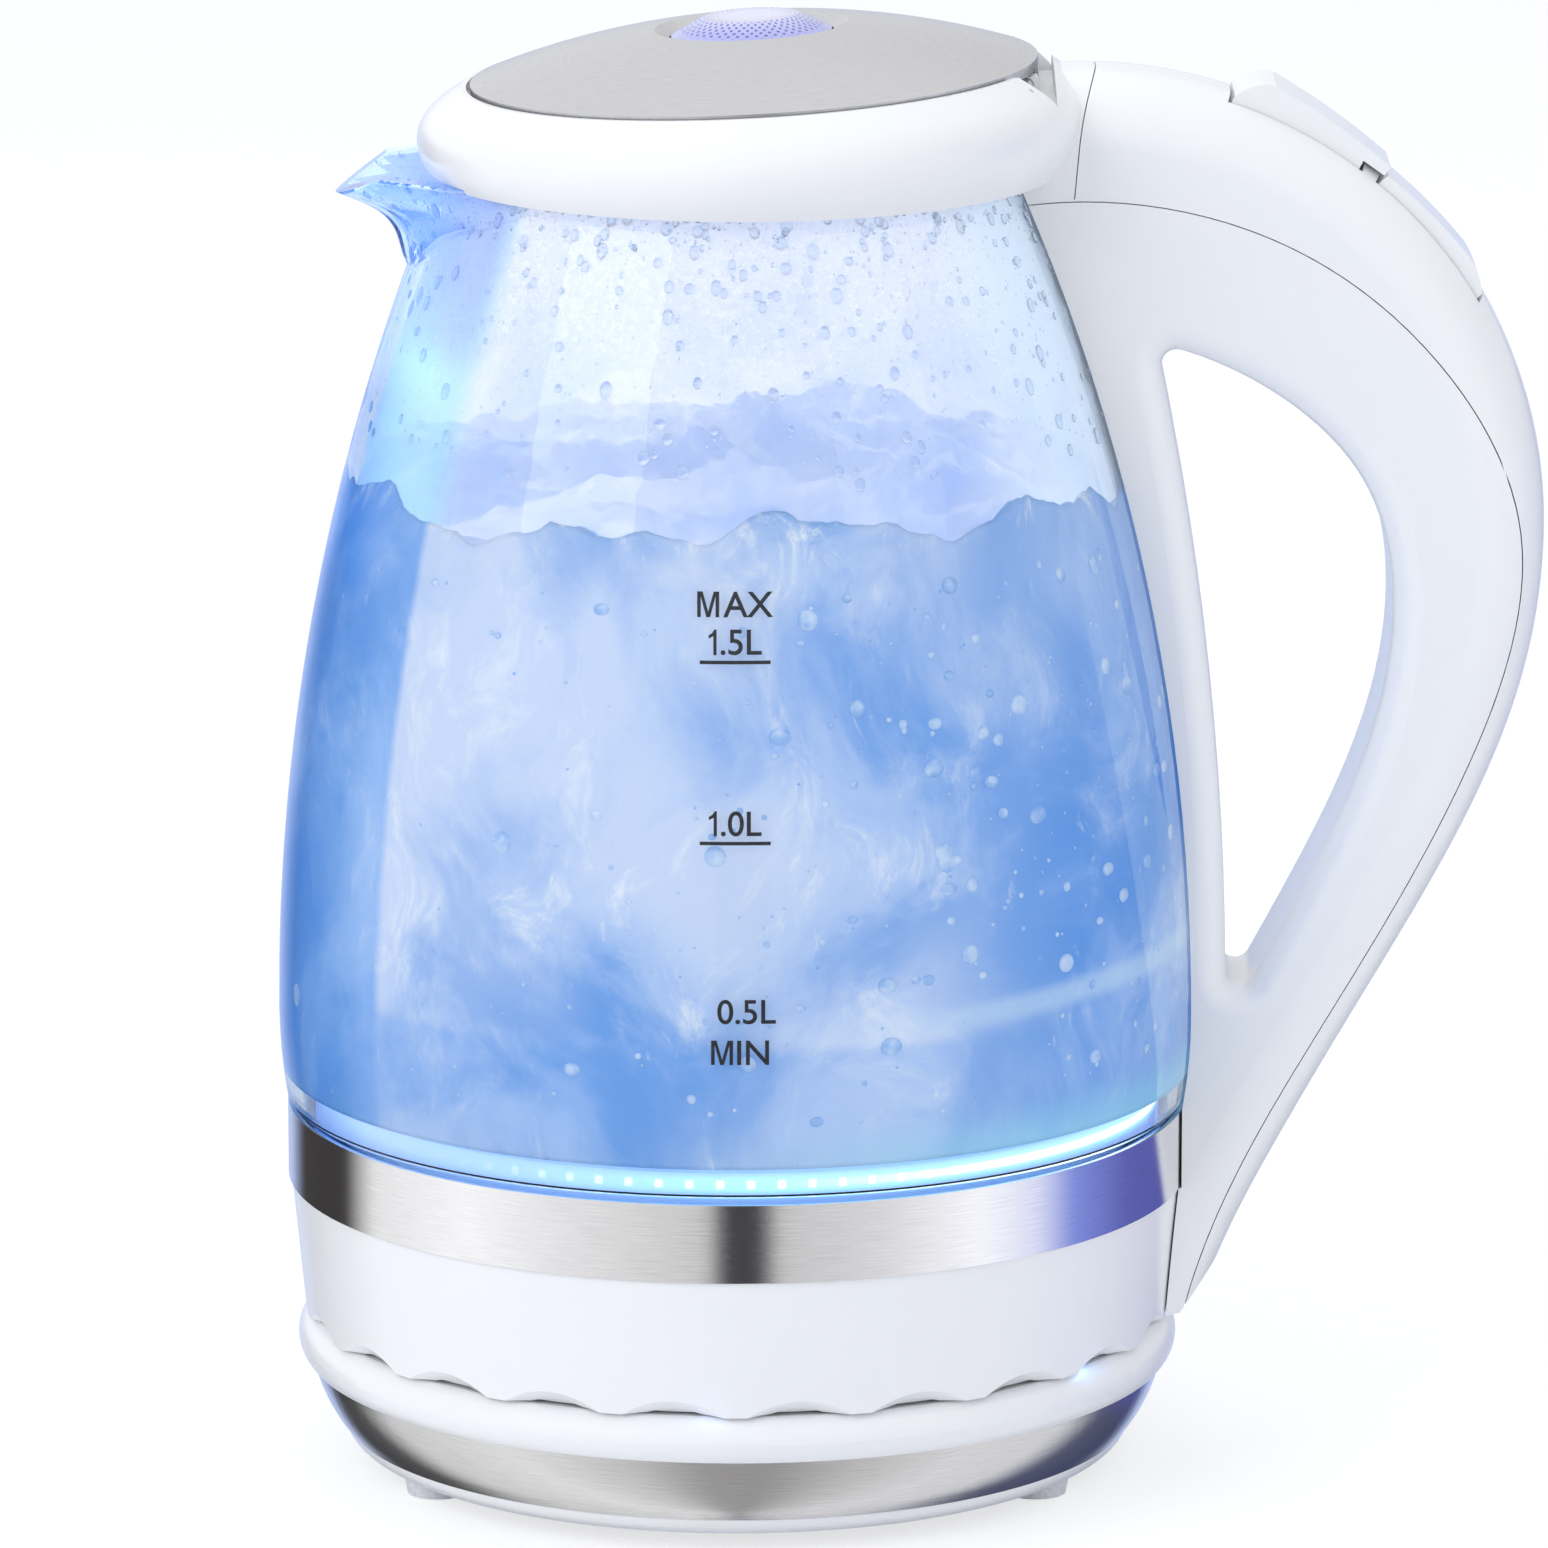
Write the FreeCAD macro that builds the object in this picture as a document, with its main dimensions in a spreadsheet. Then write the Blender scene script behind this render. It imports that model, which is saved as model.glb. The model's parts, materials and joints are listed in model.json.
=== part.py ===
import FreeCAD, Part
import math
import os
import Sketcher
from FreeCAD import Placement, Rotation, Vector

os.makedirs("parts", exist_ok=True)
doc = FreeCAD.newDocument("kettle")
sheet = doc.addObject("Spreadsheet::Sheet", "Sizes")

# Driving sizes in millimetres, degrees and counts. The jug's axis is Z, the table is at Z 0, the handle is
# towards +X and the spout towards -X. Heights are above the table unless a note says otherwise.
driving = {
    # clearances
    "seat_gap": 0.3,
    "part_gap": 0.2,
    "pin_gap": 0.08,
    # power base; its radii follow the skirt's
    "foot_height": 3.2,
    "foot_radius": 6.0,
    "foot_inset": 9.3,
    "base_wall": 2.0,
    "ring_lift": 3.2,
    "ring_rise": 12.0,
    "ring_slope": 5.7,
    "ring_curve": 27.0,
    "ring_wall": 0.8,
    "shoulder_overhang": 2.3,
    "shoulder_rise": 3.4,
    "base_margin": 1.4,
    "base_crown": 4.2,
    "flat_inset": 3.9,
    "hub_radius": 24.0,
    "hub_rise": 8.0,
    "gland_radius": 4.6,
    "cord_bore": 3.2,
    "base_screw_inset": 12.0,
    # connector between power base and jug
    "socket_radius": 17.7,
    "socket_floor": 16.0,
    "contact_pin": 2.5,
    "inner_blade": 7.8,
    "outer_blade": 13.2,
    "blade_wall": 1.0,
    "contact_wall": 0.9,
    "contact_gap": 0.6,
    "contact_depth": 12.0,
    "connector_radius": 20.0,
    "connector_thick": 6.0,
    # lower end of the jug; its radii follow the glass
    "skirt_taper": 2.4,
    "skirt_rise": 24.8,
    "skirt_inset": 0.5,
    "skirt_wall": 2.4,
    "scallop_count": 22,
    "scallop_rise": 2.6,
    "scallop_slant": 38.0,
    "band_inset": 1.4,
    "band_wall": 0.7,
    "band_height": 13.6,
    "ledge_rise": 3.2,
    "seal_thick": 2.2,
    "floor_lift": 4.6,
    "guide_thick": 3.9,
    "plate_wall": 0.8,
    "spreader_inset": 13.0,
    "spreader_thick": 3.3,
    "element_inset": 13.0,
    "element_radius": 3.2,
    "control_radius": 21.0,
    "control_height": 14.0,
    "bottom_lift": 4.0,
    "bottom_recess": 26.0,
    "jug_screw_inset": 6.9,
    "board_thick": 1.6,
    "lamp_side": 3.0,
    "lamp_thick": 1.4,
    "lamp_count": 18,
    # glass; lifts are above the band, drops below the rim
    "glass_wall": 2.6,
    "foot_seat": 1.0,
    "glass_shoulder_lift": 1.6,
    "glass_shoulder_inset": 1.2,
    "belly_lift": 16.2,
    "belly_radius": 80.2,
    "belly_curve": 380.0,
    "neck_lift": 151.4,
    "spout_drop": 35.0,
    "spout_length": 20.3,
    "spout_tip_drop": 7.5,
    "spout_throat_drop": 18.0,
    "spout_throat_swell": 1.7,
    "spout_nose": 4.2,
    "spout_slope": 29.4,
    # collar and lid; the lid's own plane is tilted, and lid heights are above that plane
    "lid_lift": 13.4,
    "lid_tilt": 3.1,
    "lid_shift": 3.0,
    "lid_overhang": 0.2,
    "collar_overlap": 3.5,
    "collar_wall": 5.5,
    "collar_swell": 3.5,
    "collar_edge": 1.6,
    "rim_seal": 1.4,
    "cap_wall": 0.6,
    "dome_curve": 140.0,
    "dome_rise": 7.5,
    "window_radius": 13.9,
    "window_rise": 3.3,
    "plug_inset": 3.7,
    "plug_depth": 11.0,
    "plug_wall": 2.0,
    "lid_screw_inset": 11.0,
    "hinge_drop": 3.0,
    "hinge_inset": 2.4,
    "hinge_pin": 1.25,
    "hinge_width": 45.0,
    "spring_wire": 0.4,
    "spring_turns": 6,
    # handle; reaches are beyond the jug's widest radius, drops are below the lid and lifts above the skirt
    "handle_width": 30.0,
    "handle_reach": 59.8,
    "handle_curve": 80.0,
    "handle_rise": 1.1,
    "handle_wall": 2.6,
    "ridge_round": 12.0,
    "opening_round": 5.0,
    "elbow_reach": 51.0,
    "elbow_drop": 121.4,
    "calf_reach": 28.0,
    "calf_lift": 54.2,
    "ankle_reach": 11.8,
    "ankle_lift": 25.2,
    "heel_reach": 4.6,
    "heel_lift": 10.1,
    "strip_thick": 5.0,
    "strip_flare": 4.6,
    "opening_top_drop": 45.8,
    "opening_brow_reach": 14.9,
    "opening_brow_drop": 56.0,
    "opening_front_reach": 29.1,
    "opening_front_drop": 71.8,
    "opening_deep_reach": 33.2,
    "opening_deep_drop": 90.4,
    "opening_low_reach": 18.5,
    "opening_low_lift": 77.6,
    "opening_bottom_lift": 52.0,
    "seam_root": 21.3,
    "seam_low": 4.5,
    "root_flare": 2.2,
    # controls on the handle; angles are on the handle's top curve, from its widest point
    "button_width": 16.0,
    "lid_button_angle": 62.5,
    "lid_button_front": 12.3,
    "lid_button_back": 12.5,
    "lid_button_crest": 3.9,
    "switch_angle": 42.5,
    "switch_front": 10.6,
    "switch_back": 15.7,
    "switch_crest": 1.2,
    "button_depth": 8.0,
    "latch_thick": 2.4,
    "wire_radius": 1.6,
    # screws
    "screw_radius": 1.5,
    "screw_head": 3.0,
    "screw_head_thick": 1.6,
}
for row, (alias, value) in enumerate(driving.items(), 1):
    sheet.set(f"A{row}", alias)
    sheet.set(f"B{row}", str(value))
    sheet.setAlias(f"B{row}", alias)
doc.recompute()


class Size:
    """A number together with the sheet expression that it comes from, so that features can be bound to it."""

    def __init__(self, value, text):
        self.value = float(value)
        self.text = text

    def __float__(self):
        return self.value

    def __add__(self, other):
        other = size(other)
        return Size(self.value + other.value, f"({self.text} + {other.text})")

    def __sub__(self, other):
        other = size(other)
        return Size(self.value - other.value, f"({self.text} - {other.text})")

    def __mul__(self, other):
        other = size(other)
        return Size(self.value * other.value, f"({self.text} * {other.text})")

    def __truediv__(self, other):
        other = size(other)
        return Size(self.value / other.value, f"({self.text} / {other.text})")

    def __neg__(self):
        return Size(-self.value, f"(0 - {self.text})")

    def root(self):
        return Size(math.sqrt(self.value), f"sqrt({self.text})")


def size(item):
    """Any number as a Size."""
    return item if isinstance(item, Size) else Size(item, repr(float(item)))


class Sheet:
    """The sheet's cells as Sizes, by their aliases."""

    def __getattr__(self, alias):
        return Size(getattr(sheet, alias), f"Sizes.{alias}")


dim = Sheet()
nodes = []


def bind(item, **sizes):
    """Sets properties of an object to Sizes and keeps them bound to the sheet."""
    for name, value in sizes.items():
        item.setExpression(name, size(value).text)


def node(item, label):
    """Marks an object as one of the part's pieces, under its own name."""
    item.Label = label
    nodes.append(item)
    return item


# Heights that follow from others, from the table up

ring_height = dim.foot_height + dim.ring_lift
ring_top = ring_height + dim.ring_rise
shoulder_height = ring_top + dim.shoulder_rise
base_top = shoulder_height + dim.base_crown
bottom_height = base_top + dim.bottom_lift
skirt_top = base_top + dim.skirt_rise
ledge_height = skirt_top + dim.ledge_rise
band_top = skirt_top + dim.band_height
floor_height = band_top + dim.floor_lift
glass_shoulder = band_top + dim.glass_shoulder_lift
belly_height = band_top + dim.belly_lift
rim_height = belly_height + dim.neck_lift
spout_start = rim_height - dim.spout_drop
spout_throat = rim_height - dim.spout_throat_drop
spout_tip = rim_height - dim.spout_tip_drop
collar_bottom = rim_height - dim.collar_overlap
lid_height = rim_height + dim.lid_lift

# Radii that follow from the glass's widest radius, outwards in and then up

band_radius = dim.belly_radius - dim.band_inset
skirt_top_radius = band_radius - dim.skirt_inset
skirt_radius = skirt_top_radius - dim.skirt_taper
jug_screw_circle = skirt_radius - dim.jug_screw_inset
shoulder_radius = skirt_radius + dim.base_margin
base_flat_radius = shoulder_radius - dim.flat_inset
ring_top_radius = shoulder_radius - dim.shoulder_overhang
base_rim_radius = ring_top_radius - dim.ring_slope
foot_circle = base_rim_radius - dim.foot_inset
base_screw_circle = foot_circle - dim.base_screw_inset
glass_foot_radius = band_radius - dim.band_wall - dim.foot_seat
glass_shoulder_radius = dim.belly_radius - dim.glass_shoulder_inset
floor_radius = glass_foot_radius - dim.glass_wall - dim.seat_gap - dim.seat_gap - dim.guide_thick
spreader_radius = floor_radius - dim.spreader_inset
element_circle = spreader_radius - dim.element_inset
belly_chord = dim.belly_curve * dim.belly_curve - dim.neck_lift * dim.neck_lift
rim_radius = dim.belly_radius - dim.belly_curve + belly_chord.root()
spout_reach = rim_radius + dim.spout_length
lid_radius = rim_radius + dim.lid_overhang
plug_radius = rim_radius - dim.plug_inset
lid_screw_circle = plug_radius - dim.lid_screw_inset
collar_bottom_radius = rim_radius + dim.collar_wall
collar_bulge_radius = collar_bottom_radius + dim.collar_swell


# Sketching and PartDesign features


class Bend:
    """An arc between two corners of an outline. Its centre is to the left of the way walked, if left is set."""

    def __init__(self, radius, left=True):
        self.radius = size(radius)
        self.left = left


class Ring:
    """A whole circle in a sketch."""

    def __init__(self, across, along, radius):
        self.across = size(across)
        self.along = size(along)
        self.radius = size(radius)


def origin_feature(part, role):
    return next(item for item in part.Origin.OriginFeatures if item.Role == role)


def fix(sketch, geometry, point, across, along):
    """Pins one point of a sketch at two sizes from the sketch's origin."""
    for kind, value in (("DistanceX", across), ("DistanceY", along)):
        number = sketch.addConstraint(Sketcher.Constraint(kind, -1, 1, geometry, point, value.value))
        sketch.setExpression(f"Constraints[{number}]", value.text)


def fix_radius(sketch, geometry, radius):
    number = sketch.addConstraint(Sketcher.Constraint("Radius", geometry, radius.value))
    sketch.setExpression(f"Constraints[{number}]", radius.text)


def bend_curve(start, end, bend):
    """The arc of a Bend between two points, as the counter-clockwise curve that a sketch wants."""
    chord = end - start
    across = Vector(-chord.y, chord.x, 0).normalize()
    side = 1 if bend.left else -1
    rise = math.sqrt(bend.radius.value ** 2 - chord.Length ** 2 / 4)
    centre = (start + end) * 0.5 + across * (side * rise)
    first, last = (start, end) if bend.left else (end, start)
    angles = [math.atan2(point.y - centre.y, point.x - centre.x) for point in (first, last)]
    if angles[1] < angles[0]:
        angles[1] += 2 * math.pi
    return Part.ArcOfCircle(Part.Circle(centre, Vector(0, 0, 1), bend.radius.value), angles[0], angles[1])


def draw(sketch, outline):
    """Draws a closed outline of corners, joined by lines or by the Bend given between them."""
    corners = []
    bends = {}
    for item in outline:
        if isinstance(item, Bend):
            bends[len(corners) - 1] = item
        else:
            corners.append((size(item[0]), size(item[1])))
    points = [Vector(across.value, along.value, 0) for across, along in corners]
    ends = []
    for number, start in enumerate(points):
        end = points[(number + 1) % len(points)]
        bend = bends.get(number)
        if bend is None:
            sketch.addGeometry(Part.LineSegment(start, end), False)
        else:
            sketch.addGeometry(bend_curve(start, end, bend), False)
        ends.append((1, 2) if bend is None or bend.left else (2, 1))
    for number, (across, along) in enumerate(corners):
        after = (number + 1) % len(corners)
        sketch.addConstraint(Sketcher.Constraint("Coincident", number, ends[number][1], after, ends[after][0]))
    for number, (across, along) in enumerate(corners):
        fix(sketch, number, ends[number][0], across, along)
    for number, bend in bends.items():
        fix_radius(sketch, number, bend.radius)


def new_sketch(part, role, shapes, offset=0):
    """A sketch on one of the body's own planes. Shapes are Rings and closed outlines."""
    sketch = part.newObject("Sketcher::SketchObject", "Sketch")
    sketch.AttachmentSupport = [(origin_feature(part, role), "")]
    sketch.MapMode = "FlatFace"
    sketch.setExpression("AttachmentOffset.Base.z", size(offset).text)
    for shape in shapes:
        if isinstance(shape, Ring):
            centre = Vector(shape.across.value, shape.along.value, 0)
            number = sketch.addGeometry(Part.Circle(centre, Vector(0, 0, 1), shape.radius.value), False)
            fix(sketch, number, 3, shape.across, shape.along)
            fix_radius(sketch, number, shape.radius)
        else:
            draw(sketch, shape)
    return sketch


def new_body(label):
    part = doc.addObject("PartDesign::Body", label)
    part.Label = label
    return part


def turn(part, *outline, cut=False):
    """Turns an outline of radius and height about the body's Z axis, to add or to cut."""
    sketch = new_sketch(part, "XZ_Plane", [outline])
    feature = part.newObject("PartDesign::Groove" if cut else "PartDesign::Revolution", "Turned")
    feature.Profile = sketch
    feature.ReferenceAxis = (sketch, ["V_Axis"])
    feature.Angle = 360
    doc.recompute()
    return feature


def turned(label, *outline):
    part = new_body(label)
    turn(part, *outline)
    return part


def raise_up(part, height, length, *shapes):
    """Pads shapes upwards from a height above the body's XY plane."""
    feature = part.newObject("PartDesign::Pad", "Raised")
    feature.Profile = new_sketch(part, "XY_Plane", shapes, height)
    bind(feature, Length=length)
    doc.recompute()
    return feature


def drill_up(part, height, length, *shapes):
    """Cuts shapes upwards from a height above the body's XY plane."""
    feature = part.newObject("PartDesign::Pocket", "Drilled")
    feature.Profile = new_sketch(part, "XY_Plane", shapes, height)
    feature.Reversed = True
    bind(feature, Length=length)
    doc.recompute()
    return feature


def across(part, kind, width, *shapes, offset=0):
    """Pads or pockets shapes drawn in the XZ plane, evenly to both sides of it or of an offset from it."""
    feature = part.newObject(f"PartDesign::{kind}", "Across")
    feature.Profile = new_sketch(part, "XZ_Plane", shapes, offset)
    feature.Midplane = True
    bind(feature, Length=width)
    doc.recompute()
    return feature


def ring_of(part, feature, count):
    """Repeats a feature evenly about the body's Z axis."""
    pattern = part.newObject("PartDesign::PolarPattern", "Repeated")
    pattern.Originals = [feature]
    pattern.Axis = (origin_feature(part, "Z_Axis"), [""])
    pattern.Angle = 360
    if isinstance(count, Size):
        bind(pattern, Occurrences=count)
    else:
        pattern.Occurrences = count
    part.Tip = pattern
    doc.recompute()


def group(label, members):
    """Separate solids that share one node."""
    item = doc.addObject("Part::Compound", label)
    item.Links = members
    return node(item, label)


def shaped(label, shape, place=Placement()):
    """A document object for a shape made in code."""
    item = doc.addObject("Part::Feature", label)
    item.Shape = shape
    item.Placement = place
    return item


def screw(label, length):
    """A pan-head screw that points up from its head's underside at its own XY plane."""
    head = dim.screw_head
    return turned(
        label,
        (0, -dim.screw_head_thick), (head, -dim.screw_head_thick), (head, 0),
        (dim.screw_radius, 0), (dim.screw_radius, length), (0, length),
    )


def polar(radius, angle, height=0):
    """A point at an angle in degrees about the jug's axis."""
    turn_angle = math.radians(angle)
    return Vector(float(radius) * math.cos(turn_angle), float(radius) * math.sin(turn_angle), float(height))


def spun(angle):
    return Rotation(Vector(0, 0, 1), angle)


# The frame that the lid and the seat of the lid lie in
lid_frame = Placement(
    Vector(dim.lid_shift.value, 0, lid_height.value), Rotation(Vector(0, 1, 0), -dim.lid_tilt.value)
)
screw_hole = dim.screw_radius + dim.pin_gap
head_hole = dim.screw_head + dim.seat_gap


def on_lid(item):
    """Places an object that is drawn in the lid's own frame."""
    bind(item, **{"Placement.Base.x": dim.lid_shift, "Placement.Base.z": lid_height})
    item.setExpression("Placement.Rotation.Axis.x", "0")
    item.setExpression("Placement.Rotation.Axis.y", "1")
    item.setExpression("Placement.Rotation.Axis.z", "0")
    item.setExpression("Placement.Rotation.Angle", (-dim.lid_tilt).text)
    return item


# Power base

floor_top = dim.foot_height + dim.base_wall
hub_top = base_top + dim.hub_rise
deck_under = base_top - dim.base_wall
ring_bottom_radius = base_rim_radius + dim.part_gap
lip_radius = ring_bottom_radius - dim.ring_wall - dim.part_gap - 0.6
boss_radius = dim.screw_head + 1.4

bottom_cover = turned(
    "base_bottom_cover",
    (0, dim.foot_height), (base_rim_radius - 2.7, dim.foot_height), Bend(4.2),
    (base_rim_radius, ring_height), (lip_radius, ring_height), (lip_radius, ring_height + 1),
    (lip_radius - dim.base_wall, ring_height + 1), (lip_radius - dim.base_wall, floor_top), (0, floor_top),
)
ring_of(bottom_cover, drill_up(bottom_cover, 0, floor_top + 1, Ring(base_screw_circle, 0, screw_hole)), 3)
ring_of(
    bottom_cover,
    drill_up(bottom_cover, 0, dim.foot_height + dim.base_wall / 2, Ring(base_screw_circle, 0, head_hole)),
    3,
)
node(bottom_cover, "base_bottom_cover")

feet = []
for number in range(3):
    foot = doc.addObject("Part::Cone", "foot")
    bind(foot, Radius1=dim.foot_radius - 0.6, Radius2=dim.foot_radius, Height=dim.foot_height)
    foot.Placement = Placement(polar(foot_circle, 90 + 120 * number), Rotation())
    feet.append(foot)
group("base_feet", feet)

ring_inner_curve = dim.ring_curve - dim.ring_wall
ring_body = turned(
    "ring_sheet",
    (ring_bottom_radius, ring_height), Bend(dim.ring_curve), (ring_top_radius, ring_top),
    (ring_top_radius - dim.ring_wall, ring_top), Bend(ring_inner_curve, left=False),
    (ring_bottom_radius - dim.ring_wall, ring_height),
)
gland_height = (ring_height + ring_top) / 2
gland_neck = dim.gland_radius - 1
gland_hole = doc.addObject("Part::Cylinder", "gland_hole")
bind(gland_hole, Radius=gland_neck + dim.part_gap, Height=shoulder_radius + 20)
bind(gland_hole, **{"Placement.Base.z": gland_height})
gland_hole.Placement.Rotation = Rotation(Vector(1, 0, 0), -90)
steel_ring = doc.addObject("Part::Cut", "base_steel_ring")
steel_ring.Base = ring_body
steel_ring.Tool = gland_hole
node(steel_ring, "base_steel_ring")

# the gland is drawn along its own Z axis and points out of the back of the base
gland_inside = ring_bottom_radius - dim.ring_wall - 1
gland_outside = ring_top_radius + dim.part_gap
gland = turned(
    "cord_gland",
    (dim.cord_bore, gland_inside - 2), (dim.gland_radius, gland_inside - 2), (dim.gland_radius, gland_inside),
    (gland_neck, gland_inside), (gland_neck, gland_outside), (dim.gland_radius, gland_outside),
    (dim.gland_radius - 0.6, gland_outside + 6), (dim.cord_bore, gland_outside + 6),
)
bind(gland, **{"Placement.Base.z": gland_height})
gland.Placement.Rotation = Rotation(Vector(1, 0, 0), -90)
node(gland, "cord_gland")

socket_hole = dim.socket_radius + dim.part_gap
top_cover = turned(
    "base_top_cover",
    (base_flat_radius - 1.2, ring_top), (ring_top_radius + 1, ring_top), Bend(5),
    (shoulder_radius, shoulder_height), Bend(4.3), (base_flat_radius, base_top),
    (dim.hub_radius + 1.6, base_top), (dim.hub_radius, hub_top), (socket_hole, hub_top),
    (socket_hole, hub_top - dim.base_wall), (dim.hub_radius - 2.2, hub_top - dim.base_wall),
    (dim.hub_radius - 0.6, deck_under), (base_flat_radius - 1.2, deck_under),
)
ring_of(
    top_cover,
    raise_up(top_cover, floor_top, deck_under - floor_top + 0.5, Ring(base_screw_circle, 0, boss_radius)),
    3,
)
base_screw_length = deck_under - floor_top - 4
ring_of(
    top_cover, drill_up(top_cover, floor_top, base_screw_length, Ring(base_screw_circle, 0, screw_hole)), 3
)
node(top_cover, "base_top_cover")

base_screws = []
for number in range(3):
    item = screw("base_screw", base_screw_length)
    bind(item, **{"Placement.Base.z": dim.foot_height + dim.base_wall / 2})
    place = polar(base_screw_circle, 120 * number)
    item.Placement.Base.x = place.x
    item.Placement.Base.y = place.y
    base_screws.append(item)
group("base_screws", base_screws)

# Socket in the power base, and the connector that the jug stands on

clear = dim.contact_gap + dim.contact_wall
bore = dim.contact_pin + clear
blades = (dim.inner_blade, dim.outer_blade)
slots = [(blade - dim.contact_gap, blade + dim.blade_wall + clear) for blade in blades]
socket_top = hub_top - 0.4
contact_top = dim.socket_floor + dim.contact_depth

socket = turned(
    "base_socket",
    (0, floor_top), (dim.socket_radius, floor_top), (dim.socket_radius, socket_top), (slots[1][1], socket_top),
    (slots[1][1], dim.socket_floor), (slots[1][0], dim.socket_floor), (slots[1][0], socket_top),
    (slots[0][1], socket_top), (slots[0][1], dim.socket_floor), (slots[0][0], dim.socket_floor),
    (slots[0][0], socket_top), (bore, socket_top), (bore, dim.socket_floor), (0, dim.socket_floor),
)
node(socket, "base_socket")

sleeves = []
for outside in (bore, slots[0][1], slots[1][1]):
    sleeves.append(turned(
        "sleeve",
        (outside - dim.contact_wall, dim.socket_floor), (outside, dim.socket_floor), (outside, contact_top),
        (outside - dim.contact_wall, contact_top),
    ))
group("socket_contacts", sleeves)

connector_under = hub_top + 3.4
connector_top = connector_under + dim.connector_thick
blade_tip = dim.socket_floor + 6
connector = turned(
    "kettle_connector",
    (0, connector_under), (dim.connector_radius - 1, connector_under), (dim.connector_radius, connector_under + 1),
    (dim.connector_radius, connector_top), (0, connector_top),
)
node(connector, "kettle_connector")

blade_rings = [turned(
    "pin",
    (0, blade_tip - 4), (dim.contact_pin - 1, blade_tip - 4), (dim.contact_pin, blade_tip - 3),
    (dim.contact_pin, connector_under), (0, connector_under),
)]
for blade in blades:
    blade_rings.append(turned(
        "blade",
        (blade, blade_tip), (blade + dim.blade_wall, blade_tip), (blade + dim.blade_wall, connector_under),
        (blade, connector_under),
    ))
group("connector_contacts", blade_rings)

# Lower end of the jug

skirt_bottom = base_top + dim.seat_gap
skirt_inner = skirt_radius - dim.skirt_wall
skirt_top_inner = skirt_top_radius - dim.skirt_wall
band_inner = band_radius - dim.band_wall
seat_radius = band_inner - dim.part_gap
seal_top = ledge_height + dim.seal_thick
board_height = ledge_height - dim.lamp_thick - dim.board_thick
ledge_under = board_height - 5
ledge_inner = jug_screw_circle + 1.5
ring_ledge = seat_radius - 2.5

skirt_shell = turned(
    "skirt_shell",
    (skirt_inner, skirt_bottom), (skirt_radius, skirt_bottom), (skirt_top_radius, skirt_top),
    (seat_radius, skirt_top), (seat_radius, ledge_height), (ring_ledge, ledge_height),
    (ring_ledge, board_height), (ledge_inner, board_height), (ledge_inner, ledge_under),
    (skirt_top_inner, ledge_under),
)
jug_screw_angles = (60, 180, 300)
post_radius = dim.screw_radius + 2.1
post_top = ledge_under
for angle in jug_screw_angles:
    spot = polar(1, angle)
    x, y = jug_screw_circle * spot.x, jug_screw_circle * spot.y
    raise_up(skirt_shell, post_top, board_height - post_top, Ring(x, y, post_radius))
    drill_up(skirt_shell, post_top, board_height - post_top - 1, Ring(x, y, screw_hole))

# each scallop is a slanted scoop out of the skirt's lower edge
pitch = 2 * math.pi * skirt_radius.value / dim.scallop_count.value
scallop_radius = (pitch ** 2 / 4 + dim.scallop_rise.value ** 2) / (2 * dim.scallop_rise.value)
scoops = []
for number in range(int(dim.scallop_count.value)):
    angle = -90 + 360 / dim.scallop_count.value * (number + 0.5)
    scoop = doc.addObject("Part::Cylinder", "scoop")
    scoop.Radius = scallop_radius
    scoop.Height = 80
    lean = Rotation(Vector(0, 1, 0), 90 - dim.scallop_slant.value)
    crown = polar(skirt_radius, angle, skirt_bottom.value + dim.scallop_rise.value)
    turned_out = spun(angle).multiply(lean)
    middle = turned_out.multVec(Vector(scallop_radius, 0, -scoop.Height.Value / 2))
    scoop.Placement = Placement(crown + middle, turned_out)
    scoops.append(scoop)
wire_height = bottom_height + 14
wire_hole = doc.addObject("Part::Cylinder", "wire_hole")
bind(wire_hole, Radius=dim.wire_radius + 1, Height=20)
bind(wire_hole, **{"Placement.Base.x": skirt_radius - 10, "Placement.Base.z": wire_height})
wire_hole.Placement.Rotation = Rotation(Vector(0, 1, 0), 90)
foot_screw_height = skirt_bottom + 9.7
foot_screw_hole = doc.addObject("Part::Cylinder", "foot_screw_hole")
bind(foot_screw_hole, Radius=screw_hole, Height=20)
bind(foot_screw_hole, **{"Placement.Base.x": skirt_radius - 10, "Placement.Base.z": foot_screw_height})
foot_screw_hole.Placement.Rotation = Rotation(Vector(0, 1, 0), 90)
skirt_cuts = doc.addObject("Part::Compound", "skirt_cuts")
skirt_cuts.Links = scoops + [wire_hole, foot_screw_hole]
skirt = doc.addObject("Part::Cut", "base_skirt")
skirt.Base = skirt_shell
skirt.Tool = skirt_cuts
node(skirt, "base_skirt")

band = turned(
    "steel_band",
    (band_inner, skirt_top), (band_radius, skirt_top), (band_radius, band_top),
    (band_inner, band_top),
)
node(band, "steel_band")

recess_wall = dim.bottom_recess + dim.base_wall
recess_top = connector_under + dim.base_wall
connector_hole = dim.connector_radius + 1
bottom_top = bottom_height + dim.base_wall
jug_bottom = turned(
    "jug_bottom",
    (dim.bottom_recess, bottom_height), (skirt_inner - dim.part_gap, bottom_height),
    (skirt_inner - dim.part_gap, bottom_top), (recess_wall, bottom_top), (recess_wall, recess_top),
    (connector_hole, recess_top), (connector_hole, connector_under), (dim.bottom_recess, connector_under),
)
for angle in jug_screw_angles:
    spot = polar(1, angle)
    x, y = jug_screw_circle * spot.x, jug_screw_circle * spot.y
    raise_up(jug_bottom, bottom_height + 1, post_top - bottom_height - 1, Ring(x, y, post_radius))
    drill_up(jug_bottom, bottom_height, post_top - bottom_height, Ring(x, y, screw_hole))
node(jug_bottom, "jug_bottom")

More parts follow.
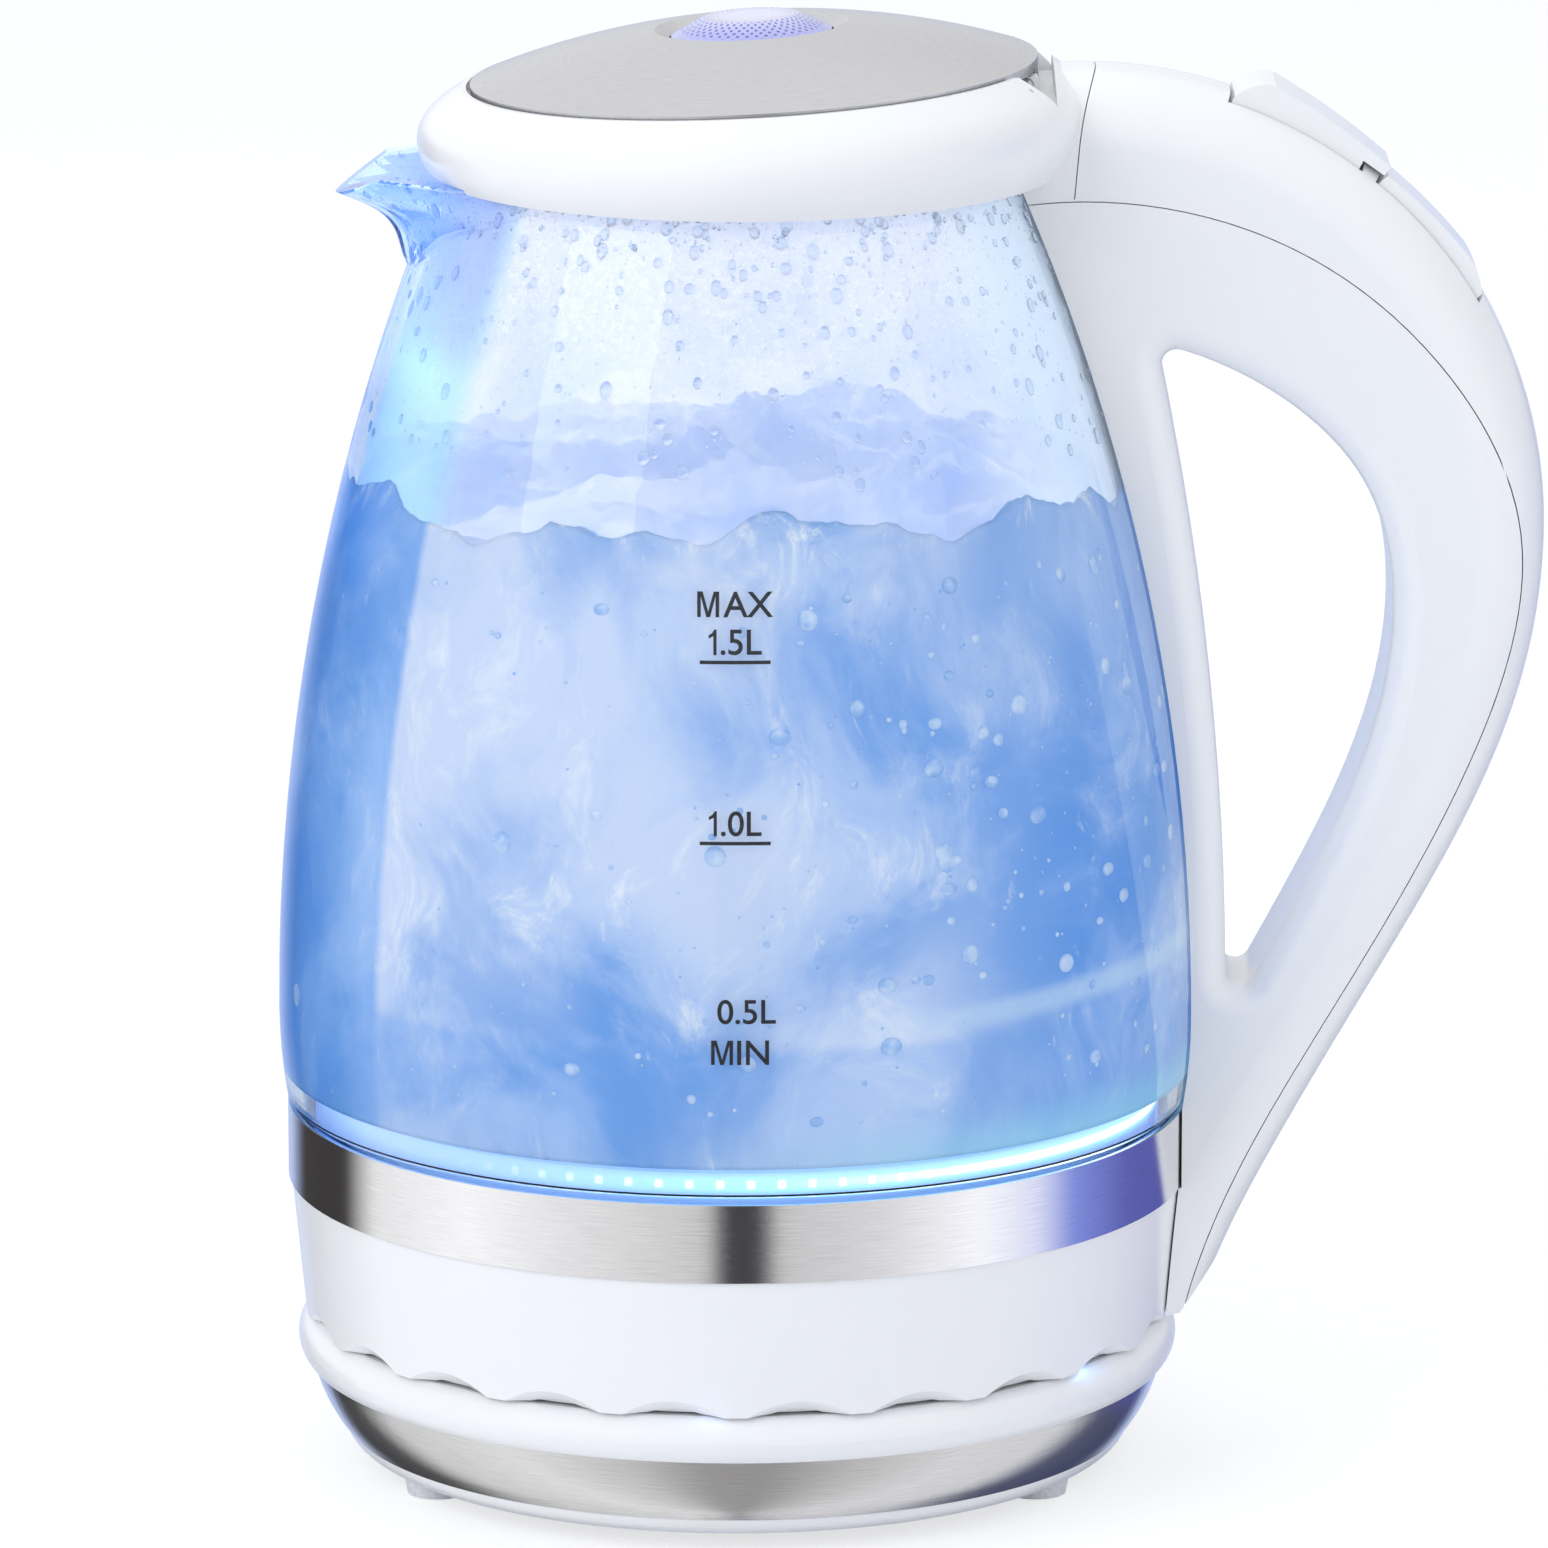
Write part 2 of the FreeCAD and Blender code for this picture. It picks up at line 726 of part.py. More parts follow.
jug_screws = []
for angle in jug_screw_angles:
    item = screw("jug_screw", board_height - bottom_height - 2)
    place = polar(jug_screw_circle, angle, bottom_height)
    item.Placement = Placement(place, Rotation())
    bind(item, **{"Placement.Base.z": bottom_height})
    jug_screws.append(item)
group("jug_screws", jug_screws)

plate_seal = turned(
    "plate_seal",
    (floor_radius - 2, ledge_height), (seat_radius, ledge_height), (seat_radius, seal_top + 5),
    (glass_foot_radius + dim.part_gap, seal_top + 5), (glass_foot_radius + dim.part_gap, seal_top),
    (floor_radius - 2, seal_top),
)
node(plate_seal, "plate_seal")

plate_under = floor_height - dim.plate_wall
plate_inner = floor_radius - dim.plate_wall
heating_plate = turned(
    "heating_plate",
    (0, plate_under), (plate_inner, plate_under), (plate_inner, seal_top), (floor_radius, seal_top),
    (floor_radius, floor_height - 1), Bend(1), (floor_radius - 1, floor_height),
    (0, floor_height),
)
node(heating_plate, "heating_plate")

spreader_under = plate_under - dim.spreader_thick
spreader = doc.addObject("Part::Cylinder", "heat_spreader")
bind(spreader, Radius=spreader_radius, Height=dim.spreader_thick)
bind(spreader, **{"Placement.Base.z": spreader_under})
node(spreader, "heat_spreader")

element_height = spreader_under - dim.element_radius
element_tube = doc.addObject("Part::Torus", "element_tube")
bind(element_tube, Radius1=element_circle, Radius2=dim.element_radius)
bind(element_tube, **{"Placement.Base.z": element_height})
element_tube.Angle3 = 300
element_tube.Placement.Rotation = spun(30)
element_parts = [element_tube]
control_bottom = connector_top + dim.seat_gap
control_top = control_bottom + dim.control_height
for angle in (32, 328):
    cold_end = doc.addObject("Part::Cylinder", "cold_end")
    bind(cold_end, Radius=dim.element_radius / 2, Height=element_height - control_bottom - 4)
    cold_end.Placement = Placement(polar(element_circle, angle), Rotation())
    bind(cold_end, **{"Placement.Base.z": control_bottom + 4})
    element_parts.append(cold_end)
element = doc.addObject("Part::MultiFuse", "heating_element")
element.Shapes = element_parts
node(element, "heating_element")

control = turned(
    "control_unit",
    (0, control_bottom), (dim.control_radius, control_bottom), (dim.control_radius, control_top - 1),
    (dim.control_radius - 1, control_top), (0, control_top),
)
ring_of(
    control,
    raise_up(control, control_top - 0.5, spreader_under - control_top + 0.5, Ring(dim.control_radius - 5, 0, 2)),
    3,
)
node(control, "control_unit")

bimetals = []
for side in (-1, 1):
    disc = doc.addObject("Part::Cylinder", "bimetal")
    bind(disc, Radius=6, Height=0.6)
    bind(disc, **{"Placement.Base.y": size(8.5 * side), "Placement.Base.z": spreader_under - 0.6})
    bimetals.append(disc)
group("bimetal_discs", bimetals)

glass_foot_inner = glass_foot_radius - dim.glass_wall
guide_inner = floor_radius + dim.seat_gap
guide_outer = glass_foot_inner - dim.seat_gap
guide_top = floor_height + 1.2
light_guide = turned(
    "light_ring",
    (guide_inner, seal_top), (guide_outer, seal_top), (guide_outer, guide_top - 1), (guide_outer - 1, guide_top),
    (guide_inner + 1, guide_top), (guide_inner, guide_top - 1),
)
node(light_guide, "light_ring")

board = turned(
    "led_board",
    (ledge_inner - 4, board_height), (ring_ledge - dim.part_gap, board_height),
    (ring_ledge - dim.part_gap, board_height + dim.board_thick), (ledge_inner - 4, board_height + dim.board_thick),
)
node(board, "led_board")

lamp_circle = (guide_inner + guide_outer) / 2
lamps = []
for number in range(int(dim.lamp_count.value)):
    angle = 360 / dim.lamp_count.value * number
    lamp = doc.addObject("Part::Box", "lamp")
    bind(lamp, Length=dim.lamp_side, Width=dim.lamp_side, Height=dim.lamp_thick)
    centre = polar(lamp_circle, angle, board_height.value + dim.board_thick.value)
    corner = spun(angle).multVec(Vector(-dim.lamp_side.value / 2, -dim.lamp_side.value / 2, 0))
    lamp.Placement = Placement(centre + corner, spun(angle))
    lamps.append(lamp)
group("led_lamps", lamps)

# Glass jug: a turned body with a pinched spout

shoulder_step = dim.belly_radius - glass_shoulder_radius
shoulder_drop = belly_height - glass_shoulder
shoulder_curve = (shoulder_drop * shoulder_drop + shoulder_step * shoulder_step) / (shoulder_step * 2)
rim_lift = rim_height - belly_height


def glass_radius(height, inset=0.0):
    """The glass's radius above its widest place."""
    curve = dim.belly_curve.value - inset
    lift = float(height) - belly_height.value
    return dim.belly_radius.value - dim.belly_curve.value + math.sqrt(curve ** 2 - lift ** 2)


def glass_outline(inset, lowest):
    """The jug's outline at an inset from its outer surface, closed on the axis."""
    curve = dim.belly_curve - inset
    rim = dim.belly_radius - dim.belly_curve + (curve * curve - rim_lift * rim_lift).root()
    return (
        (0, lowest), (glass_foot_radius - inset, lowest),
        (glass_foot_radius - inset, glass_shoulder - 2), (glass_shoulder_radius - inset, glass_shoulder),
        Bend(shoulder_curve - inset), (dim.belly_radius - inset, belly_height), Bend(curve),
        (rim, rim_height), (0, rim_height),
    )


glass_outside = turned("glass_outside", *glass_outline(size(0), seal_top))
glass_inside = turned("glass_inside", *glass_outline(dim.glass_wall, seal_top))

bite = 0.6
throat_reach = glass_radius(spout_throat) + dim.spout_throat_swell.value
start_reach = glass_radius(spout_start) - bite + 0.05
spout_rise = spout_tip.value - spout_throat.value
spout_run = spout_reach.value - throat_reach
nose_line = Part.BSplineCurve()
nose_line.interpolate([
    Vector(start_reach, 0, spout_start.value),
    Vector(throat_reach, 0, spout_throat.value),
    Vector(throat_reach + 0.2 * spout_run, 0, spout_throat.value + 0.5 * spout_rise),
    Vector(spout_reach.value, 0, spout_tip.value),
    Vector(spout_reach.value + spout_run, 0, spout_tip.value + 0.45 * spout_rise),
])


def nose_reach(height):
    """How far the spout's nose stands from the axis at a height."""
    level = Part.Line(Vector(0, 0, height), Vector(1, 0, height))
    return nose_line.intersectCC(level)[0].X


def spout_section(height, inset, lift):
    """One level section of the spout: a round nose and two flanks that run into the jug's wall."""
    wall = glass_radius(height) - bite
    nose = dim.spout_nose.value
    centre = max(nose_reach(height), wall + 0.1) - nose
    lean = math.acos((wall - nose) / centre)
    slant = Vector(-math.cos(lean), math.sin(lean), 0)
    mirror = Vector(slant.x, -slant.y, 0)
    base = Vector(0, 0, height + lift)
    middle = base + Vector(-centre, 0, 0)
    inner = nose - inset
    arc = Part.Arc(middle + slant * inner, middle + Vector(-inner, 0, 0), middle + mirror * inner)
    corners = [base + mirror * (wall - inset), base + slant * (wall - inset)]
    return Part.Wire([
        Part.makeLine(corners[1], middle + slant * inner), arc.toShape(),
        Part.makeLine(middle + mirror * inner, corners[0]), Part.makeLine(corners[0], corners[1]),
    ])


def spout_solid(inset, lift):
    """The spout as a filled beak, at an inset from its outer surface and raised by the lip's thickness."""
    spout_end = spout_tip.value + 0.45 * spout_rise
    low = spout_start.value + 0.2
    steps = 8
    heights = [low + (spout_end - 0.1 - low) * step / steps for step in range(steps + 1)]
    return Part.makeLoft([spout_section(height, inset, lift) for height in heights], True, False)


lip_plane = Part.makeBox(60, 120, 60)
lip_plane.translate(Vector(-60, -60, 0))
lip_plane.rotate(Vector(0, 0, 0), Vector(0, 1, 0), -dim.spout_slope.value)
lip_plane.translate(Vector(-spout_reach.value, 0, spout_tip.value))
lip_rest = Part.makeBox(60, 120, 60)
lip_rest.translate(Vector(0, -60, 0))
lip_rest.rotate(Vector(0, 0, 0), Vector(0, 1, 0), -dim.spout_slope.value)
lip_rest.translate(Vector(-spout_reach.value, 0, spout_tip.value))
above_rim = Part.makeBox(300, 300, 60, Vector(-150, -150, rim_height.value))

outside = glass_outside.Shape.fuse(spout_solid(0, 0))
inside = glass_inside.Shape.fuse(spout_solid(dim.glass_wall.value, 1.0))
glass_shape = outside.cut([inside, lip_plane, lip_rest, above_rim])
glass = shaped("glass_jug", glass_shape.removeSplitter())
node(glass, "glass_jug")

rim_seal = turned(
    "collar_seal",
    (rim_radius - dim.glass_wall.value, rim_height), (rim_radius, rim_height),
    (rim_radius, rim_height + dim.rim_seal), (rim_radius - dim.glass_wall.value, rim_height + dim.rim_seal),
)
node(rim_seal, "collar_seal")

# Handle: its whole outer form first, then its two shells

handle_top = lid_height.value + dim.handle_rise.value
handle_curve = dim.handle_curve.value
curve_x = dim.belly_radius.value + dim.handle_reach.value - handle_curve
curve_z = handle_top - handle_curve
half_width = dim.handle_width.value / 2
wall = dim.handle_wall.value
widest = dim.belly_radius.value
skirt_z = skirt_bottom.value
lid_z = lid_height.value


def on_curve(angle, radius):
    """A point by its angle on the handle's top curve and its distance from that curve's centre."""
    turn_angle = math.radians(angle)
    return Vector(curve_x + radius * math.cos(turn_angle), 0, curve_z + radius * math.sin(turn_angle))


def spline(points, first=None, last=None):
    """A smooth curve through points, with its end directions where they are given."""
    curve = Part.BSplineCurve()
    if first is None:
        curve.interpolate(points)
    else:
        curve.interpolate(Points=points, InitialTangent=first, FinalTangent=last)
    return curve


def beside(curve, points, distance):
    """Points beside a curve, at a distance to the right of the way along it."""
    moved = []
    for point in points:
        tangent = curve.tangent(curve.parameter(point))[0]
        moved.append(point + Vector(-tangent.z, 0, tangent.x) * -distance)
    return moved


def slab(edges, half):
    """A flat outline drawn in the XZ plane as a slab, evenly to both sides."""
    face = Part.Face(Part.Wire(Part.__sortEdges__(edges)))
    face.translate(Vector(0, -half, 0))
    return face.extrude(Vector(0, 2 * half, 0))


def path(points):
    """Straight edges through points."""
    return [Part.makeLine(start, end) for start, end in zip(points, points[1:])]


def rounded_ridge(solid, half, radius):
    """Rounds the two long edges of a slab's curved outer side."""
    edges = []
    for edge in solid.Edges:
        middle = edge.valueAt((edge.FirstParameter + edge.LastParameter) / 2)
        if abs(abs(middle.y) - half) < 0.01 and not isinstance(edge.Curve, Part.Line):
            edges.append(edge)
    return solid.makeFillet(radius, edges)


elbow = Vector(widest + dim.elbow_reach.value, 0, lid_z - dim.elbow_drop.value)
calf = Vector(widest + dim.calf_reach.value, 0, skirt_z + dim.calf_lift.value)
ankle = Vector(widest + dim.ankle_reach.value, 0, skirt_z + dim.ankle_lift.value)
heel = Vector(widest + dim.heel_reach.value, 0, skirt_z + dim.heel_lift.value)
toe = Vector(skirt_radius.value + 1.8, 0, skirt_z + 0.6)
down = Vector(0, 0, -1)
heel_way = Vector(-0.42, 0, -1)
back_points = [on_curve(0, handle_curve), elbow, calf, ankle, heel]
back_line = spline(back_points, down, heel_way)
root_x = dim.lid_shift.value + 45


def handle_form(inset):
    """The handle's whole outer form without its opening, at an inset from its surface."""
    curve = handle_curve - inset
    angle = math.degrees(math.acos((root_x - curve_x) / curve))
    root = on_curve(angle, curve)
    line = spline([on_curve(0, curve)] + beside(back_line, back_points[1:], inset), down, heel_way)
    end = line.value(line.LastParameter)
    tip = toe + Vector(-inset, 0, 0)
    arc = Part.Arc(root, on_curve(angle / 2, curve), on_curve(0, curve))
    outline = [arc.toShape(), line.toShape()] + path([end, tip, Vector(root_x, 0, tip.z), root])
    return rounded_ridge(slab(outline, half_width - inset), half_width - inset, dim.ridge_round.value - inset)


grip = handle_form(0)

# the finger opening lies between the strip along the glass and the grip
strip = dim.strip_thick.value
opening_top = Vector(0, 0, lid_z - dim.opening_top_drop.value)
opening_bottom = Vector(widest + strip, 0, skirt_z + dim.opening_bottom_lift.value)
opening_top.x = glass_radius(opening_top.z) + strip + dim.strip_flare.value * 1.4
strip_z = (opening_top.z + opening_bottom.z) / 2
strip_middle = Vector(glass_radius(strip_z) + strip + dim.strip_flare.value * 0.35, 0, strip_z)
front_points = [
    opening_top,
    Vector(widest + dim.opening_brow_reach.value, 0, lid_z - dim.opening_brow_drop.value),
    Vector(widest + dim.opening_front_reach.value, 0, lid_z - dim.opening_front_drop.value),
    Vector(widest + dim.opening_deep_reach.value, 0, lid_z - dim.opening_deep_drop.value),
    Vector(widest + dim.opening_low_reach.value, 0, skirt_z + dim.opening_low_lift.value),
    opening_bottom,
]
front_line = spline(front_points)
strip_line = Part.Arc(opening_bottom, strip_middle, opening_top)
opening = slab([front_line.toShape(), strip_line.toShape()], half_width + 1)
corner_edges = [edge for edge in opening.Edges if abs(edge.tangentAt(edge.FirstParameter).y) > 0.99]
opening = opening.makeFillet(2.5, corner_edges)
rim_marks = []
for edge in opening.Edges:
    middle = edge.valueAt((edge.FirstParameter + edge.LastParameter) / 2)
    if abs(abs(middle.y) - half_width - 1) < 0.01:
        rim_marks.append(Vector(middle.x, math.copysign(half_width, middle.y), middle.z))
grip = grip.cut(opening)
rim_edges = []
for edge in grip.Edges:
    middle = edge.valueAt((edge.FirstParameter + edge.LastParameter) / 2)
    if min(middle.distanceToPoint(mark) for mark in rim_marks) < 0.5:
        rim_edges.append(edge)
grip = grip.makeFillet(dim.opening_round.value, rim_edges)

# room for the switch, the latch and the wires inside the handle
root_radius = collar_bulge_radius.value - 0.9
room_x = dim.lid_shift.value + root_radius + dim.root_flare.value + wall
room_heel = ankle.z - 8.5
room_front = beside(front_line, front_points[1:-1], -wall)
foot_wall = Vector(band_radius.value + wall + 0.6, 0, room_heel)
far_x = curve_x + 2 * handle_curve
room_outline = [spline(room_front).toShape()] + path([
    room_front[-1], Vector(foot_wall.x, 0, opening_bottom.z - 6), foot_wall, Vector(far_x, 0, room_heel),
    Vector(far_x, 0, handle_top), Vector(room_x, 0, handle_top), Vector(room_x, 0, opening_top.z + wall + 2),
    room_front[0],
])
room = handle_form(wall).common(slab(room_outline, half_width))

# what the handle lies against: the jug's outside and the collar's seam
gap = dim.seat_gap.value


def jug_envelope(clearance):
    """The jug's filled outside, from the skirt to the rim, with a clearance."""
    curve = dim.belly_curve.value + clearance
    lower = shoulder_curve.value + clearance
    belly = Vector(widest + clearance, 0, belly_height.value)
    band = band_radius.value + clearance
    rim = Vector(glass_radius(rim_height, -clearance), 0, rim_height.value)
    half_lift = (belly.z + rim.z) / 2
    shoulder = Vector(glass_shoulder_radius.value + clearance, 0, glass_shoulder.value)
    low_mid = (belly.z + shoulder.z) / 2
    low_radius = widest - shoulder_curve.value + math.sqrt(lower ** 2 - (belly.z - low_mid) ** 2)
    lower_arc = Part.Arc(shoulder, Vector(low_radius, 0, low_mid), belly)
    upper_arc = Part.Arc(belly, Vector(glass_radius(half_lift, -clearance), 0, half_lift), rim)
    outline = path([
        Vector(0, 0, skirt_z - 5), Vector(skirt_radius.value + clearance, 0, skirt_z - 5),
        Vector(skirt_radius.value + clearance, 0, skirt_z), Vector(skirt_top_radius.value + clearance, 0,
                                                                       skirt_top.value - clearance),
        Vector(band, 0, skirt_top.value - clearance), Vector(band, 0, band_top.value + clearance), shoulder,
    ])
    close = path([rim, Vector(0, 0, rim.z), Vector(0, 0, skirt_z - 5)])
    face = Part.Face(Part.Wire(outline + [lower_arc.toShape(), upper_arc.toShape()] + close))
    return face.revolve(Vector(0, 0, 0), Vector(0, 0, 1), 360)


root_low = collar_bottom.value - 3
root_height = handle_top + 4 - root_low


def root_cone(clearance):
    """The cone about the collar's axis that parts the collar from the handle."""
    low = root_radius + clearance
    return Part.makeCone(
        low, low + dim.root_flare.value, root_height, Vector(dim.lid_shift.value, 0, root_low), Vector(0, 0, 1)
    )


envelope = jug_envelope(gap)

# the controls sit in slots that are square to the handle's top curve


def control_frame(angle):
    """The frame of a control: X runs down the handle, Z out of it."""
    origin = on_curve(float(angle), handle_curve)
    return Placement(origin, Rotation(Vector(0, 1, 0), 90 - float(angle)))


lid_button_frame = control_frame(dim.lid_button_angle)
switch_frame = control_frame(dim.switch_angle)
slot_half = dim.button_width.value / 2 + 0.4
slot_play = 0.7


def control_slot(frame, front, back):
    slot = Part.makeBox(
        front + back + 2 * slot_play, 2 * slot_half, 40, Vector(-front - slot_play, -slot_half, -14)
    )
    slot.Placement = frame
    return slot


button_slot = control_slot(lid_button_frame, dim.lid_button_front.value, dim.lid_button_back.value)
switch_slot = control_slot(switch_frame, dim.switch_front.value, dim.switch_back.value)

# both controls turn on pins that end in the handle's walls
pivot_depth = 5.0
pivot_hole = dim.hinge_pin + dim.pin_gap
pivot_length = dim.button_width + 2.4
button_pivot = dim.lid_button_back - 2
switch_pivot = -dim.switch_front + 3


def pivot_place(frame, reach, length):
    """The start of a pivot pin of this length, across the handle."""
    start = Vector(reach.value, length / 2, -pivot_depth)
    return frame.multiply(Placement(start, Rotation(Vector(1, 0, 0), 90)))


pivots = ((lid_button_frame, button_pivot), (switch_frame, switch_pivot))
pivot_seats = []
for frame, reach in pivots:
    seat_length = pivot_length.value + 2 * dim.part_gap.value
    seat = Part.makeCylinder(pivot_hole.value, seat_length)
    seat.Placement = pivot_place(frame, reach, seat_length)
    pivot_seats.append(seat)

# seam between the inner and the outer shell
seam_low = dim.seam_low.value


def cover_side(clearance):
    """Everything on the outer shell's side of the seam."""
    rise = dim.seam_root.value - seam_low
    points = [
        on_curve(angle, handle_curve - seam_low - rise * math.sin(math.radians(angle)) + clearance)
        for angle in (104, 80, 55, 30)
    ]
    points += beside(back_line, back_points[:-1], seam_low - clearance)
    points.append(Vector(toe.x + clearance, 0, toe.z - 3))
    far = [points[-1], Vector(250, 0, toe.z - 3), Vector(250, 0, 300), Vector(points[0].x, 0, 300), points[0]]
    return slab([spline(points).toShape()] + path(far), half_width + 5)


wire_route = [
    Vector(dim.control_radius.value + gap, 0, control_bottom.value + 6),
    Vector(dim.control_radius.value + 14, 0, control_bottom.value + 6),
    Vector(skirt_radius.value - 14, 0, wire_height.value),
    Vector(foot_wall.x - 4.0, 0, wire_height.value),
    Vector(ankle.x - 6.5, 0, ankle.z - 3.5),
    Vector((calf.x + opening_bottom.x) / 2, 0, calf.z),
    Vector((elbow.x + front_points[4].x) / 2, 0, (elbow.z + front_points[4].z) / 2),
    Vector(elbow.x - 10, 0, elbow.z + 6),
    Vector(back_points[0].x - 11, 0, back_points[0].z - 8),
    Vector(back_points[0].x - 16, 0, back_points[0].z + 14),
]


def tube_along(points, radius):
    """A round tube along a smooth route."""
    curve = spline(points)
    start = curve.value(curve.FirstParameter)
    circle = Part.makeCircle(radius, start, curve.tangent(curve.FirstParameter)[0])
    return Part.Wire([curve.toShape()]).makePipeShell([Part.Wire([circle])], True, False)


steam_frame = control_frame(dim.switch_angle - 4)
steam_depth = 24.0
steam_size = Vector(22, 16, 9)
steam_floor = -steam_depth - steam_size.z
steam_foot = Part.makeBox(10, 8, 30, Vector(-5, -4, steam_floor - 30))
steam_foot.Placement = steam_frame
wire_stop = steam_size.x / 2 + gap + 0.8
route_end = steam_frame.multVec(Vector(wire_stop, 0, steam_floor + steam_size.z / 2))
wire_tube = tube_along(wire_route + [route_end], dim.wire_radius.value)
wire_space = tube_along(wire_route + [route_end], dim.wire_radius.value + gap)

# the latch slides from the collar to a point under the lid button
catch_height = lid_frame.multVec(Vector(plug_radius.value, 0, -dim.plug_depth.value)).z + 0.8
latch_thick = dim.latch_thick.value
latch_half = 5.5
latch_nose = lid_frame.multVec(Vector(plug_radius.value, 0, -dim.plug_depth.value)).x + 0.9
latch_slot = Part.makeBox(
    40, 2 * latch_half + 1, latch_thick + 1, Vector(latch_nose - 3, -latch_half - 0.5, catch_height - 0.5)
)

collar_screw_height = rim_height.value + 1.5
collar_screw_side = 9.0
collar_screw_head = room_x
collar_screw_length = 7.5


def screw_bore(x, y, z, radius):
    return Part.makeCylinder(radius, 30, Vector(x - 24, y, z), Vector(1, 0, 0))


bores = [
    screw_bore(collar_screw_head, side * collar_screw_side, collar_screw_height, screw_hole.value) for side in (-1, 1)
]
foot_bore = Part.makeCylinder(
    screw_hole.value, 8.5, Vector(skirt_radius.value - 3, 0, foot_screw_height.value), Vector(1, 0, 0)
)

shell = grip.cut([envelope, root_cone(dim.part_gap.value)])
steam_room = Part.makeBox(
    steam_size.x + 2 * gap, steam_size.y + 2 * gap, steam_size.z + gap,
    Vector(-steam_size.x / 2 - gap, -steam_size.y / 2 - gap, steam_floor),
)
steam_room.Placement = steam_frame
handle_cuts = [button_slot, switch_slot, latch_slot, foot_bore, wire_space, steam_room]
hollow = shell.cut(room).cut(handle_cuts + bores + pivot_seats)
steam_rib = shell.common(steam_foot).cut([wire_space, cover_side(dim.part_gap.value)])
handle_body_shape = hollow.cut(cover_side(-dim.part_gap.value)).fuse(steam_rib)
handle_cover_shape = hollow.common(cover_side(0))


def largest(shape):
    return max(shape.Solids, key=lambda solid: solid.Volume)


handle_body = shaped("handle_body", largest(handle_body_shape.removeSplitter()))
node(handle_body, "handle_body")
handle_cover = shaped("handle_cover", largest(handle_cover_shape))
node(handle_cover, "handle_cover")

steam_corner = Vector(-steam_size.x / 2, -steam_size.y / 2, steam_floor)
steam_switch = doc.addObject("Part::Box", "steam_switch")
steam_switch.Length = steam_size.x
steam_switch.Width = steam_size.y
steam_switch.Height = steam_size.z
steam_switch.Placement = steam_frame.multiply(Placement(steam_corner, Rotation()))
node(steam_switch, "steam_switch")

wires = shaped("wire_harness", wire_tube)
node(wires, "wire_harness")

handle_screws = []
for side in (-1, 1):
    item = screw("collar_screw", collar_screw_length)
    head = Vector(collar_screw_head, side * collar_screw_side, collar_screw_height)
    item.Placement = Placement(head, Rotation(Vector(0, 1, 0), -90))
    handle_screws.append(item)
item = screw("foot_screw", 7.5)
foot_head = Vector(skirt_inner.value + 0.4, 0, foot_screw_height.value)
item.Placement = Placement(foot_head, Rotation(Vector(0, 1, 0), 90))
handle_screws.append(item)
group("handle_screws", handle_screws)

# Collar: a swelling ring whose top follows the lid's tilt

collar_levels = [
    # share of the height, radius, share of the tilt, share of the shift
    (0.0, collar_bottom_radius, 0.0, 0.35),
    (0.24, collar_bulge_radius - 0.9, 0.3, 0.7),
    (0.54, collar_bulge_radius, 0.6, 1.0),
    (0.85, lid_radius + dim.collar_edge + 3.6, 0.9, 1.0),
    (1.0, lid_radius + dim.collar_edge, 1.0, 1.0),
]
collar_rise = lid_height - collar_bottom
hoops = []
for rise, radius, tilt, shift in collar_levels:
    hoop = doc.addObject("Part::Circle", "hoop")
    bind(hoop, Radius=radius)
    bind(hoop, **{"Placement.Base.x": dim.lid_shift * shift,
                  "Placement.Base.z": collar_bottom + collar_rise * rise})
    hoop.setExpression("Placement.Rotation.Axis.y", "1")
    hoop.setExpression("Placement.Rotation.Axis.z", "0")
    hoop.setExpression("Placement.Rotation.Angle", (-dim.lid_tilt * tilt).text)
    hoops.append(hoop)
collar_ring = doc.addObject("Part::Loft", "collar_ring")
collar_ring.Sections = hoops
collar_ring.Solid = True
collar_ring.Ruled = False

collar_tab = shaped("collar_tab", largest(grip.common(root_cone(0))))
collar_block = doc.addObject("Part::Fuse", "collar_block")
collar_block.Base = collar_ring
collar_block.Tool = collar_tab

hinge_x = lid_radius - dim.hinge_inset
plug_bore = plug_radius + 1.2
seat_bore = lid_radius + 0.7
seat_depth = 1.7
sweep = math.hypot(dim.hinge_inset.value, dim.hinge_drop.value + 0.8) + 0.5


def lid_cylinder(name, radius, low, height):
    """A cylinder about the lid's own axis."""
    item = doc.addObject("Part::Cylinder", name)
    bind(item, Radius=radius, Height=height)
    item.Placement = lid_frame.multiply(Placement(Vector(0, 0, float(low)), Rotation()))
    return item


bore_cut = lid_cylinder("plug_space", plug_bore, -(dim.plug_depth.value + 8), 60)
seat_cut = lid_cylinder("seat_space", seat_bore, -seat_depth, 30)
seal_cut = doc.addObject("Part::Cylinder", "seal_space")
bind(seal_cut, Radius=rim_radius + gap)
bind(seal_cut, Height=dim.rim_seal + 2)
bind(seal_cut, **{"Placement.Base.z": rim_height - 2})
hinge_cut = doc.addObject("Part::Box", "hinge_space")
bind(hinge_cut, Length=10 + sweep, Width=dim.hinge_width, Height=20)
hinge_corner = Vector(hinge_x.value - 10, -dim.hinge_width.value / 2, -dim.hinge_drop.value - 3.2)
hinge_cut.Placement = lid_frame.multiply(Placement(hinge_corner, Rotation()))
pin_length = dim.hinge_width + 4
pin_place = lid_frame.multiply(
    Placement(Vector(hinge_x.value, pin_length.value / 2, -dim.hinge_drop.value), Rotation(Vector(1, 0, 0), 90))
)
pin_cut = doc.addObject("Part::Cylinder", "pin_space")
bind(pin_cut, Radius=dim.hinge_pin, Height=pin_length)
pin_cut.Placement = pin_place
glass_cut = shaped("glass_space", envelope.copy())
